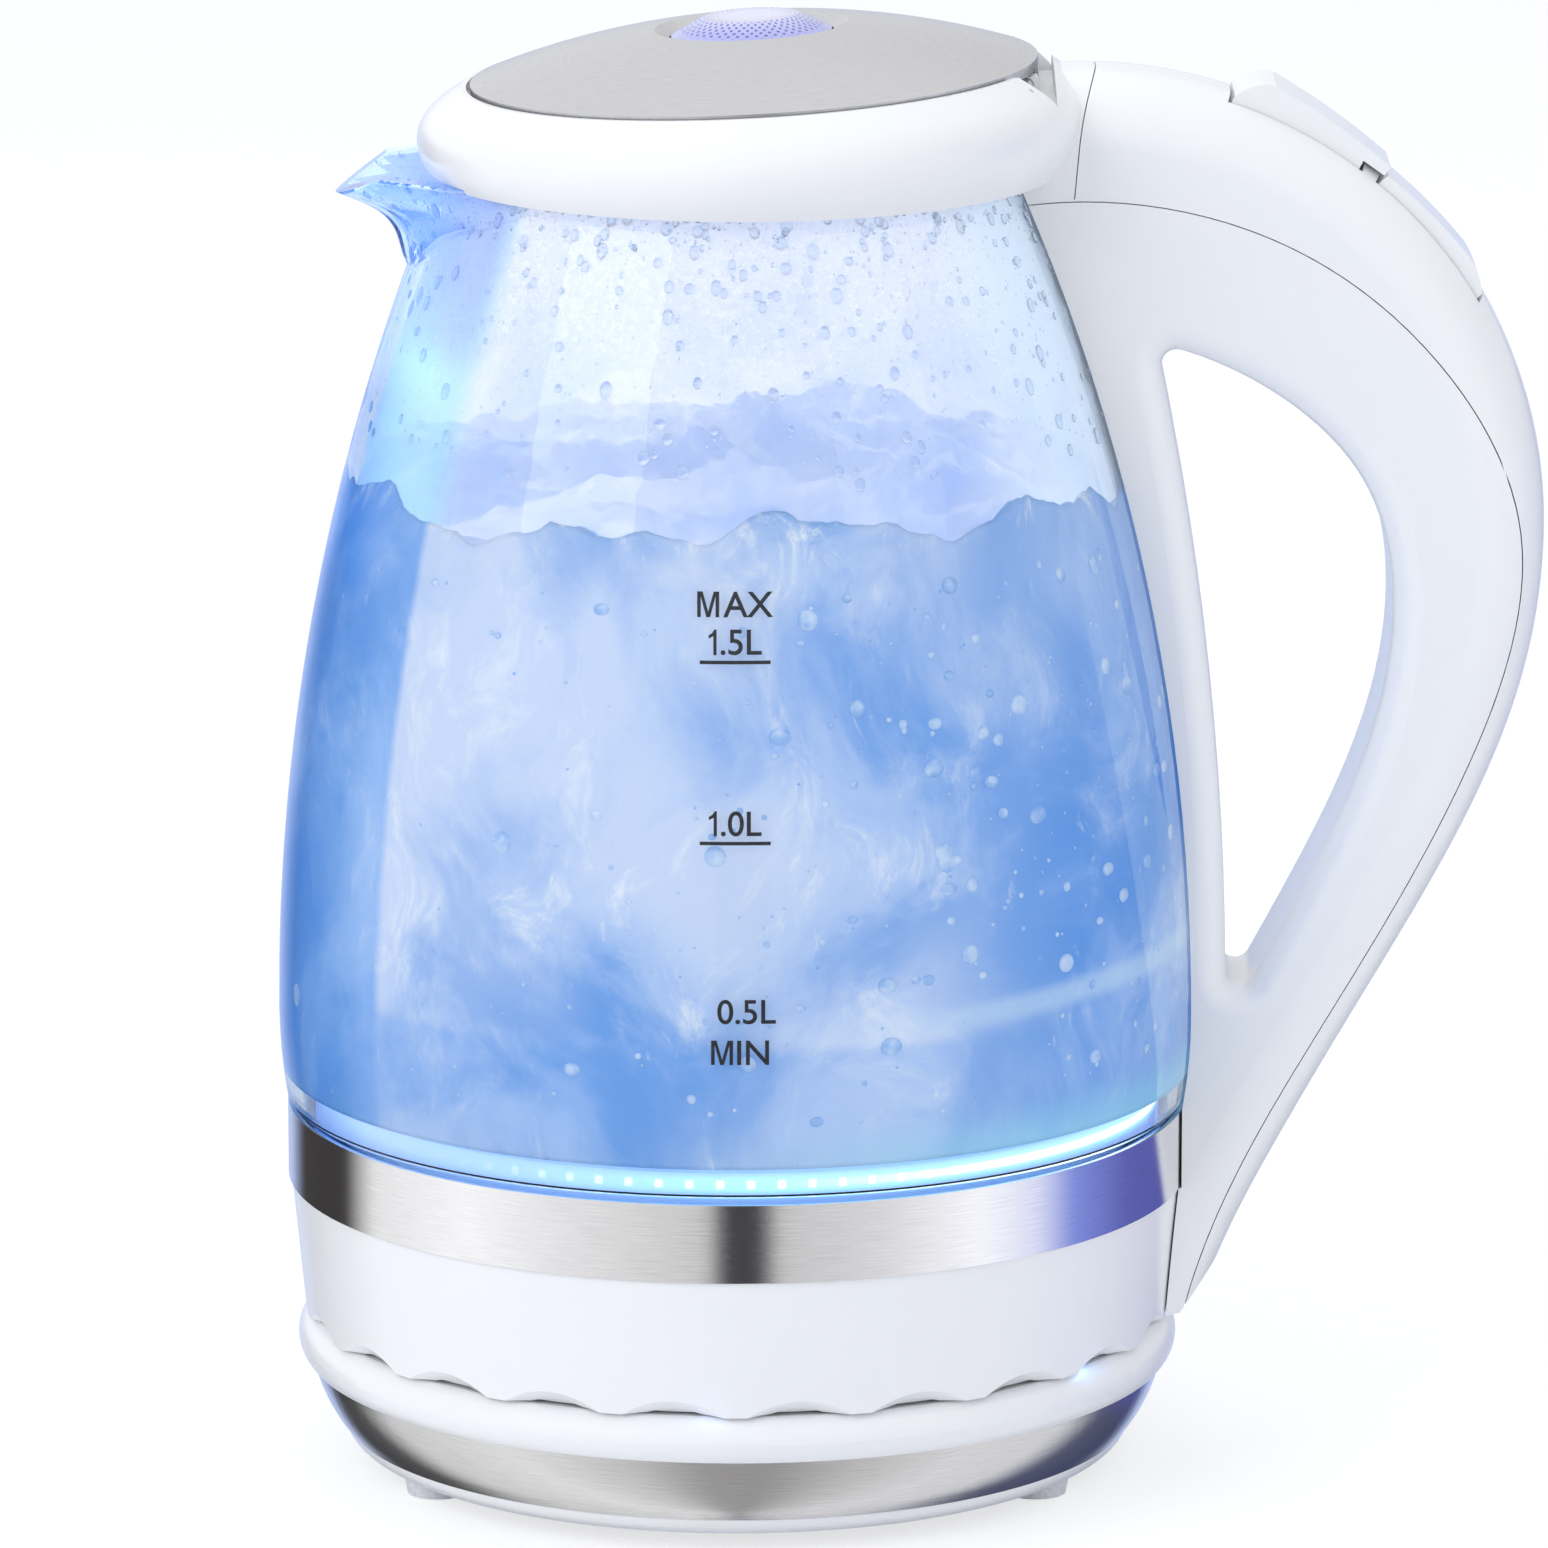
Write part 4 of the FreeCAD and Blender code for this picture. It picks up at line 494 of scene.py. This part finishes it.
def letterMesh(text, low, shift):
    # a first letter that the font draws badly is drawn from a listed outline instead
    byHand = marks["byHand"].get(text[0])
    curve = bpy.data.curves.new("mark", "FONT")
    curve.body = text[1:] if byHand else text
    curve.offset = marks["bold"]
    drawn = bpy.data.objects.new("mark", curve)
    bpy.context.scene.collection.objects.link(drawn)
    mesh = bpy.data.meshes.new_from_object(drawn.evaluated_get(bpy.context.evaluated_depsgraph_get()))
    bpy.data.objects.remove(drawn)
    high = max(vertex.co.y for vertex in mesh.vertices)
    base = min(vertex.co.y for vertex in mesh.vertices)
    scale = marks["height"] / (high - base)
    form = bmesh.new()
    form.from_mesh(mesh)
    bpy.data.meshes.remove(mesh)
    for vertex in form.verts:
        vertex.co = (vertex.co.x * scale, (vertex.co.y - base) * scale, 0.0)
    left = min(vertex.co.x for vertex in form.verts)
    if byHand:
        start = left - marks["height"] * (max(x for x, y in byHand) + marks["spacing"])
        outline = [(start + marks["height"] * x, marks["height"] * y) for x, y in byHand]
        form.faces.new([form.verts.new((x, y, 0.0)) for x, y in outline])
        left = min(vertex.co.x for vertex in form.verts)
    right = max(vertex.co.x for vertex in form.verts)
    for vertex in form.verts:
        vertex.co = (vertex.co.x - (left + right) / 2 + shift, vertex.co.y + low, 0.0)
    letters = bpy.data.meshes.new("letters")
    form.to_mesh(letters)
    form.free()
    return letters


def printMarks():
    form = bmesh.new()
    for text, low, shift in marks["lines"]:
        letters = letterMesh(text, low, shift)
        form.from_mesh(letters)
        bpy.data.meshes.remove(letters)
    for height, length in marks["rules"]:
        thick = marks["ruleThick"] / 2
        corners = [(-length / 2, -thick), (length / 2, -thick), (length / 2, thick), (-length / 2, thick)]
        form.faces.new([form.verts.new((x, height + y, 0.0)) for x, y in corners])
    bmesh.ops.triangulate(form, faces=form.faces[:])
    first, after = marks["longest"]  # edges over these are halved, so that the letters bend with the glass
    long = [edge for edge in form.edges if edge.calc_length() > first]
    while long:
        bmesh.ops.subdivide_edges(form, edges=long, cuts=1)
        bmesh.ops.triangulate(form, faces=form.faces[:])
        long = [edge for edge in form.edges if edge.calc_length() > after]
    mesh = bpy.data.meshes.new("volume_marks")
    form.to_mesh(mesh)
    form.free()
    wrapped(mesh)
    newPiece("volume_marks", mesh, inkLook(), "jug")


printMarks()
print("volume marks done")


# boiling water

water = {
    "floor": 0.0706, "level": 0.1765, "wave": 0.0065, "gap": -0.0006, "heave": 0.0005,
    "turns": 192, "rows": 120, "rings": 46, "index": 1.33, "shine": 0.42,
    "deep": (0.105, 0.285, 0.64), "mid": (0.245, 0.42, 0.72), "pale": (0.48, 0.57, 0.74),
    "foam": (0.66, 0.71, 0.77), "cyan": (0.28, 0.62, 0.76), "lit": (0.56, 0.71, 0.77),
    "drift": 19.0, "bend": (0.045, 0.045, 0.06), "clouds": 21.0, "wisps": 90.0, "flecks": 330.0, "veil": 13.0,
    "stretch": 0.45, "leftSide": (0.765, 0.79), "rightSide": (0.50, 0.66), "lowTo": (0.0895, 0.0925),
    "surf": (0.171, 0.177), "litLine": 0.0925, "litTilt": 0.004, "litBand": (0.0006, 0.0034),
    "glowTo": (0.0705, 0.080),
    "mounds": [
        ((0.034, -0.030), 0.011, 0.011), ((0.001, 0.012), 0.006, 0.013), ((-0.050, -0.012), 0.004, 0.010),
    ],
    "swells": [(38.0, 3.1, 0.8), (95.0, 8.4, 0.2)],
}


def waterLook():
    look = newLook("boiling_water")
    place = look.place()
    x, y, z = look.split(place)
    across = x / look.reach(x, y)
    # slow noise bends the place that the finer noise reads
    drift = look.add("TexNoise", values={
        "Vector": place, "Scale": water["drift"], "Detail": 2.0, "Roughness": 0.5,
    }, out="Color")
    bent = look.add("VectorMath", {"operation": "MULTIPLY_ADD"}, {0: drift, 1: water["bend"], 2: place})
    u, v, w = look.split(bent)
    long = look.join(u, v, w * water["stretch"])
    clouds = look.grain(bent, water["clouds"], 7.0, 0.60)
    wisps = look.grain(long, water["wisps"], 9.0, 0.70, 0.6)
    flecks = look.grain(long, water["flecks"], 4.0, 0.62)
    veil = look.grain(place, water["veil"], 2.0)
    # painted shade and reflection: darker at the sides and low down, with pale cloudy patches in the middle
    # that stand for the lamps' reflection on the glass
    left = (-across).between(*water["leftSide"])
    right = across.between(*water["rightSide"])
    side = left.most(right * 0.62)
    low = 1.0 - z.between(*water["lowTo"])
    pale = veil.between(0.36, 0.58) * 0.75 + clouds.between(0.40, 0.62) * 0.5
    pale = pale * (1.0 - side) * (1.0 - low * 0.55)
    colour = look.blend(clouds.between(0.38, 0.66), water["deep"], water["mid"])
    colour = look.blend(pale.least(1.0), colour, water["pale"])
    foam = wisps.between(0.50, 0.72) * clouds.between(0.40, 0.60) * (1.0 - side * 0.7) * (1.0 - low * 0.6)
    foam = foam + flecks.between(0.62, 0.78) * wisps.between(0.44, 0.6) * 0.5
    foam = foam + wisps.between(0.5, 0.62) * z.between(*water["surf"]) * 0.5
    colour = look.blend(foam.least(0.95), colour, water["foam"])
    # the ring's light, as a band on the handle's side and a glow near the floor
    fromLine = (z - water["litLine"] - across * water["litTilt"]).size()
    lit = across.between(0.15, 0.75) * (1.0 - fromLine.between(*water["litBand"]))
    colour = look.blend(lit * 0.45, colour, water["lit"])
    glow = (1.0 - z.between(*water["glowTo"])) * across.between(-0.2, 0.8)
    colour = look.blend(glow * 0.6, colour, water["cyan"])
    # painted glow: the water gives off its own colour as light, standing in for the ring's light inside it
    return look.surface({
        "Base Color": colour,
        "Roughness": 0.12 + wisps.between(0.4, 0.7) * 0.15,
        "IOR": water["index"],
        "Emission Color": colour,
        "Emission Strength": water["shine"],
        "Normal": look.bump(wisps + clouds, 0.35, 0.0012),
    })


def churn(point, scale, seed):
    return noise.fractal(Vector(point) * scale + Vector((seed, seed * 0.7, 0.0)), 0.8, 2.1, 5)


def boilingWater():
    points = []
    faces = []
    turns, rows, rings = water["turns"], water["rows"], water["rings"]

    def topHeight(x, y):
        swell = sum(churn((x, y, 0.0), scale, seed) * share for scale, seed, share in water["swells"])
        height = water["level"] + water["wave"] * swell
        for (middleX, middleY), rise, spread in water["mounds"]:
            away = ((x - middleX) ** 2 + (y - middleY) ** 2) / spread ** 2
            height += rise * math.exp(-away) * (1 + 0.5 * churn((x, y, 0.0), 150.0, 2.2))
        return height

    edge = wallReach(water["level"]) - water["gap"]
    for row in range(rows + 1):
        share = row / rows
        for step in range(turns):
            turn = 2 * math.pi * step / turns
            high = topHeight(edge * math.cos(turn), edge * math.sin(turn))
            height = water["floor"] + (high - water["floor"]) * share
            reach = wallReach(height) - water["gap"]
            spot = (reach * math.cos(turn), reach * math.sin(turn), height)
            reach -= water["heave"] * max(0.0, churn(spot, 70.0, 5.2)) * min(1.0, share * 6)
            points.append((reach * math.cos(turn), reach * math.sin(turn), height))
    for row in range(rows):
        for step in range(turns):
            after = (step + 1) % turns
            faces.append((
                row * turns + step, row * turns + after, (row + 1) * turns + after, (row + 1) * turns + step,
            ))
    rim = rows * turns
    last = rim
    for ring in range(1, rings):
        share = 1.0 - ring / rings
        start = len(points)
        for step in range(turns):
            x, y = (part * share for part in points[rim + step][:2])
            points.append((x, y, topHeight(x, y)))
        for step in range(turns):
            after = (step + 1) % turns
            faces.append((last + step, last + after, start + after, start + step))
        last = start
    points.append((0.0, 0.0, topHeight(0.0, 0.0)))
    faces += [(last + step, last + (step + 1) % turns, len(points) - 1) for step in range(turns)]
    points.append((0.0, 0.0, water["floor"]))
    faces += [((step + 1) % turns, step, len(points) - 1) for step in range(turns)]
    mesh = meshOf("boiling_water", points, faces)
    newPiece("boiling_water", mesh, waterLook(), "jug")


boilingWater()
print("water done")


# drops on the glass and bubbles in the water

drops = {
    "seed": 7, "count": 2600, "low": 0.184, "high": 0.2285, "crowd": 2.2,
    "small": 0.00016, "large": 0.0011, "rare": 5, "flat": 0.45, "stretch": (1.0, 1.5), "farthest": 0.066,
    "tint": (0.88, 0.94, 1.0), "index": 1.18,
}
bubbles = {
    "seed": 21, "count": 420, "turn": -0.75, "spread": 0.75, "low": 0.078, "high": 0.168, "small": 0.0003,
    "large": 0.0021, "rare": 5, "flat": 0.35, "stretch": (0.7, 1.1),
    "dark": (0.24, 0.43, 0.74), "pale": (0.50, 0.63, 0.80),
}
bead = {"coarse": 0.00035, "fine": 0.001}  # sizes from which a bead gets more faces


def dropLook():
    look = newLook("water_drop")
    grain = look.grain(look.place(), 300.0)
    return look.surface({
        "Base Color": drops["tint"],
        "Roughness": 0.04 + grain * 0.04,
        "Transmission Weight": 1.0,
        "IOR": drops["index"],
    })


def bubbleLook():
    look = newLook("water_bubble")
    grain = look.grain(look.place(), 260.0, 3.0)
    colour = look.blend(grain.between(0.35, 0.65), bubbles["dark"], bubbles["pale"])
    # painted glow: the bubbles give off their own blue as light
    return look.surface({
        "Base Color": colour,
        "Roughness": 0.06 + grain * 0.05,
        "Emission Color": colour,
        "Emission Strength": 0.3,
        "Coat Weight": 0.5,
    })


def ballShape(level):
    form = bmesh.new()
    bmesh.ops.create_icosphere(form, subdivisions=level, radius=1.0)
    points = [vertex.co.copy() for vertex in form.verts]
    faces = [[vertex.index for vertex in face.verts] for face in form.faces]
    form.free()
    return points, faces


def beads(name, items, look):
    # many small rounded beads in one mesh: centre, outward way, size, flatness, stretch
    shapes = {level: ballShape(level) for level in (1, 2, 3)}
    points = []
    faces = []
    for centre, facing, radius, flat, stretch in items:
        spin = facing.to_track_quat("Z", "Y").to_matrix().to_4x4()
        scale = Matrix.Diagonal((radius, radius * stretch, radius * flat, 1.0))
        place = Matrix.Translation(centre) @ spin @ scale
        ball = shapes[1 if radius < bead["coarse"] else 2 if radius < bead["fine"] else 3]
        start = len(points)
        points += [place @ point for point in ball[0]]
        faces += [[start + corner for corner in face] for face in ball[1]]
    newPiece(name, meshOf(name, points, faces), look, "jug")


def condensation():
    # thick under the collar, thin lower down
    dice = random.Random(drops["seed"])
    items = []
    for _ in range(drops["count"]):
        turn = dice.uniform(0.0, 2 * math.pi)
        height = drops["high"] - (drops["high"] - drops["low"]) * dice.random() ** drops["crowd"]
        radius = drops["small"] + (drops["large"] - drops["small"]) * dice.random() ** drops["rare"]
        point, facing = wallPoint(turn, height, True)
        if point is None or Vector((point.x, point.y)).length > drops["farthest"]:
            continue
        items.append((point, facing, radius, drops["flat"], dice.uniform(*drops["stretch"])))
    return beads("glass_drops", items, dropLook())


def boilBubbles():
    # more of them on the handle's side
    dice = random.Random(bubbles["seed"])
    items = []
    for _ in range(bubbles["count"]):
        turn = dice.gauss(bubbles["turn"], bubbles["spread"])
        height = dice.uniform(bubbles["low"], bubbles["high"])
        radius = bubbles["small"] + (bubbles["large"] - bubbles["small"]) * dice.random() ** bubbles["rare"]
        point, facing = wallPoint(turn, height, True)
        stretch = dice.uniform(*bubbles["stretch"])
        items.append((point + facing * water["gap"], facing, radius, bubbles["flat"], stretch))
    return beads("water_bubbles", items, bubbleLook())


mist = {
    "low": 0.1735, "high": 0.2285, "rows": 44, "turns": 180, "off": 0.0002, "widest": 0.008,
    "pale": (0.83, 0.86, 0.97), "blue": (0.50, 0.62, 0.93), "handleSide": (0.70, 0.84, 0.97),
    "spoutSide": (0.42, 0.78, 0.98), "underLip": (0.34, 0.48, 0.90), "lipHeight": (0.196, 0.206),
    "blueHeight": (0.222, 0.186), "wetHeight": (0.190, 0.215), "left": (0.70, 0.80), "right": (0.55, 0.95),
    "thickest": 0.85, "shine": 0.42,
}


def mistLook():
    # steam on the glass, with painted light in its colour: bluer lower down and at the sides where the blue
    # water and ring's light show through, a painted cyan glow on the spout's side, painted blue shade under
    # the lip, and a paler colour on the handle's side over the shade seen through the glass edge
    look = newLook("steam_mist")
    x, y, z = look.split(look.place())
    across = x / look.reach(x, y)
    cloud = look.grain(look.place(), 26.0, 6.0, 0.6, 0.8)
    fine = look.grain(look.place(), 700.0, 3.0, 0.6)
    streak = look.grain(look.join(x, y, z * 0.12), 260.0, 3.0, 0.6)
    left = (-across).between(*mist["left"])
    right = across.between(*mist["right"])
    deep = cloud.between(0.40, 0.62) * z.between(*mist["blueHeight"])
    colour = look.blend(deep, mist["pale"], mist["blue"])
    colour = look.blend(right * 0.8, colour, mist["handleSide"])
    colour = look.blend(left * 0.9, colour, mist["spoutSide"])
    colour = look.blend(left * z.between(*mist["lipHeight"]), colour, mist["underLip"])
    # the thicker cover on the handle's side paints over the shade seen through the glass edge
    cover = 0.36 + cloud.between(0.35, 0.65) * 0.20 + left * 0.24 + right * 0.44
    wet = fine.between(0.48, 0.62) * 0.22 + streak.between(0.55, 0.7) * 0.15
    cover = cover + wet * z.between(*mist["wetHeight"])
    # painted glow: the mist gives off its own colour as light
    return look.surface({
        "Base Color": colour,
        "Roughness": 0.5,
        "Alpha": cover.least(mist["thickest"]),
        "Emission Color": colour,
        "Emission Strength": mist["shine"],
    })


def steamMist():
    points = []
    faces = []
    known = {}
    for row in range(mist["rows"] + 1):
        height = mist["low"] + (mist["high"] - mist["low"]) * row / mist["rows"]
        for step in range(mist["turns"]):
            point, facing = wallPoint(2 * math.pi * step / mist["turns"], height, True)
            if point is not None:
                known[row, step] = len(points)
                points.append(point + facing * mist["off"])
    for row in range(mist["rows"]):
        for step in range(mist["turns"]):
            after = (step + 1) % mist["turns"]
            corners = [(row, step), (row, after), (row + 1, after), (row + 1, step)]
            if all(corner in known for corner in corners):
                loop = [known[corner] for corner in corners]
                if max((points[loop[0]] - points[other]).length for other in loop) < mist["widest"]:
                    faces.append(loop)
    mesh = meshOf("steam_mist", points, faces)
    newPiece("steam_mist", mesh, mistLook(), "jug")


condensation()
boilBubbles()
steamMist()
print("drops, bubbles and mist done")


# an inner lip that closes the gap behind the skirt's scallops

lip = {"outer": 0.0731, "inner": 0.0716, "low": 0.02645, "high": 0.0312, "turns": 192, "round": 0.0003}


def skirtLip():
    cut = lip["round"]
    section = [
        (lip["inner"], lip["high"]), (lip["inner"], lip["low"] + cut), (lip["inner"] + cut, lip["low"]),
        (lip["outer"] - cut, lip["low"]), (lip["outer"], lip["low"] + cut), (lip["outer"], lip["high"]),
    ]
    points = []
    faces = []
    count = len(section)
    for step in range(lip["turns"]):
        turn = 2 * math.pi * step / lip["turns"]
        points += [(reach * math.cos(turn), reach * math.sin(turn), height) for reach, height in section]
        after = (step + 1) % lip["turns"]
        for corner in range(count):
            beside = (corner + 1) % count
            faces.append((
                step * count + corner, step * count + beside, after * count + beside, after * count + corner,
            ))
    mesh = meshOf("skirt_lip", points, faces, False)
    newPiece("skirt_lip", mesh, finishes["white_plastic"], "jug")


skirtLip()
print("skirt lip done")


# studio: floor, world, lamps, camera

studio = {
    "floorHalf": 6.0, "floorHeight": -0.0002, "floorMatt": (0.92, 0.93, 0.95),
    "floorWhite": 0.55, "floorGlow": 1.2,
    "sky": (0.60, 0.62, 0.67), "white": (1.0, 1.0, 1.0), "throughGlass": (0.86, 0.92, 1.0),
    "lamps": [
        ("key", (-1.5, -1.3, 1.3), 1.5, 17.0),
        ("fill", (1.5, -1.3, 0.9), 1.2, 4.5),
        ("top", (0.0, 0.4, 1.9), 1.6, 9.0),
    ],
    "lampTarget": (0.0, 0.0, 0.12),
    "leaks": [(-0.0039, -0.0752, 0.0282), (0.0605, -0.0448, 0.0282)],
    "leakPower": 0.0012, "leakSize": 0.0015, "leakColour": (0.2, 0.45, 1.0),
}
cameraSet = {
    "place": (0.0065, -1.9, 0.553), "target": (0.0065, 0.0, 0.1213), "lens": 259.6,
    "sensor": 36.0, "farthest": 50.0,
}


def studioFloor():
    half, height = studio["floorHalf"], studio["floorHeight"]
    corners = [(-half, -half, height), (half, -half, height), (half, half, height), (-half, half, height)]
    floor = meshOf("floor", corners, [(0, 1, 2, 3)])
    look = newLook("floor")
    seen = look.add("LightPath", out="Is Camera Ray").most(look.add("LightPath", out="Is Transmission Ray"))
    matt = look.add("BsdfDiffuse", values={"Color": studio["floorMatt"]})
    glow = look.add("Emission", values={"Color": studio["white"], "Strength": studio["floorGlow"]})
    mixed = look.add("MixShader", values={0: seen * studio["floorWhite"], 1: matt, 2: glow})
    look.add("OutputMaterial", values={"Surface": mixed})
    made = bpy.data.objects.new("floor", floor)
    bpy.context.scene.collection.objects.link(made)
    floor.materials.append(look.owner)
    made.visible_glossy = False


def studioWorld():
    # what the steel and glass mirror: pale walls with dark and blue stretches, by direction
    world = bpy.data.worlds.new("studio")
    bpy.context.scene.world = world
    look = Look(world)
    x, y, z = look.split(look.add("TexCoord", out="Generated"))
    turn = look.bearing(-y, x) / (2 * math.pi) + 0.5
    walls = look.add("ValToRGB", {"stops": [
        (0.0, (0.6, 0.7, 0.95)), (0.05, (0.5, 0.6, 0.9)), (0.09, (0.06, 0.055, 0.055)),
        (0.17, (0.05, 0.045, 0.045)), (0.205, (0.95, 0.95, 0.95)), (0.30, (1.15, 1.15, 1.16)),
        (0.37, (0.95, 0.95, 0.96)), (0.44, (0.80, 0.79, 0.79)), (0.483, (0.70, 0.69, 0.69)),
        (0.487, (0.05, 0.05, 0.06)), (0.522, (0.05, 0.05, 0.06)), (0.526, (0.68, 0.67, 0.67)),
        (0.60, (0.82, 0.82, 0.84)), (0.68, (1.15, 1.15, 1.2)), (0.73, (0.85, 0.88, 1.1)),
        (0.765, (0.25, 0.32, 0.85)), (0.83, (0.13, 0.14, 0.5)), (0.92, (0.10, 0.11, 0.4)),
        (0.95, (0.5, 0.6, 0.9)), (1.0, (0.6, 0.7, 0.95)),
    ]}, {0: turn})
    low = look.add("ValToRGB", {"stops": [
        (0.0, (0.4, 0.45, 0.55)), (0.04, (0.3, 0.33, 0.4)), (0.07, (0.06, 0.06, 0.07)),
        (0.12, (0.10, 0.10, 0.10)), (0.17, (0.70, 0.70, 0.70)), (0.30, (0.88, 0.88, 0.88)),
        (0.40, (0.66, 0.65, 0.65)), (0.47, (0.38, 0.37, 0.37)), (0.53, (0.36, 0.35, 0.35)),
        (0.60, (0.58, 0.57, 0.57)), (0.70, (0.80, 0.79, 0.80)), (0.80, (0.74, 0.74, 0.77)),
        (0.85, (0.10, 0.11, 0.18)), (0.93, (0.06, 0.07, 0.14)), (1.0, (0.4, 0.45, 0.55)),
    ]}, {0: turn})
    upper = look.blend(x.between(-0.35, 0.55), (1.04, 1.04, 1.05), (0.74, 0.74, 0.76))
    upper = look.blend(z.between(0.25, 0.8), upper, (1.12, 1.12, 1.13))
    shine = look.blend(z.between(-0.5, -0.32), low, walls)
    shine = look.blend(z.between(-0.05, 0.1), shine, upper)
    glossy = look.add("LightPath", out="Is Glossy Ray")
    seen = look.add("LightPath", out="Is Camera Ray").most(look.add("LightPath", out="Is Transmission Ray"))
    inGlass = look.add("LightPath", out="Transmission Depth")
    shine = look.blend(inGlass.least(1.0), shine, studio["throughGlass"])
    colour = look.blend(glossy, studio["sky"], shine)
    colour = look.blend(seen, colour, studio["white"])
    back = look.add("Background", values={"Color": colour, "Strength": 1.0})
    look.add("OutputWorld", values={"Surface": back})


def aimed(made, place, target):
    made.location = place
    made.rotation_euler = (Vector(target) - Vector(place)).to_track_quat("-Z", "Y").to_euler()
    bpy.context.scene.collection.objects.link(made)
    return made


def lampsAndCamera():
    for name, place, size, power in studio["lamps"]:
        lamp = bpy.data.lights.new(name, "AREA")
        lamp.size = size
        lamp.energy = power
        made = aimed(bpy.data.objects.new(name, lamp), place, studio["lampTarget"])
        made.visible_glossy = False
    for number, place in enumerate(studio["leaks"]):
        leak = bpy.data.lights.new("leak" + str(number), "POINT")
        leak.color = studio["leakColour"]
        leak.energy = studio["leakPower"]
        leak.shadow_soft_size = studio["leakSize"]
        made = bpy.data.objects.new(leak.name, leak)
        made.location = place
        bpy.context.scene.collection.objects.link(made)
    camera = bpy.data.cameras.new("camera")
    camera.lens = cameraSet["lens"]
    camera.sensor_width = cameraSet["sensor"]
    camera.clip_end = cameraSet["farthest"]
    made = aimed(bpy.data.objects.new("camera", camera), cameraSet["place"], cameraSet["target"])
    bpy.context.scene.camera = made
    bpy.context.scene.view_settings.view_transform = "Standard"


studioFloor()
studioWorld()
lampsAndCamera()
print("studio done")
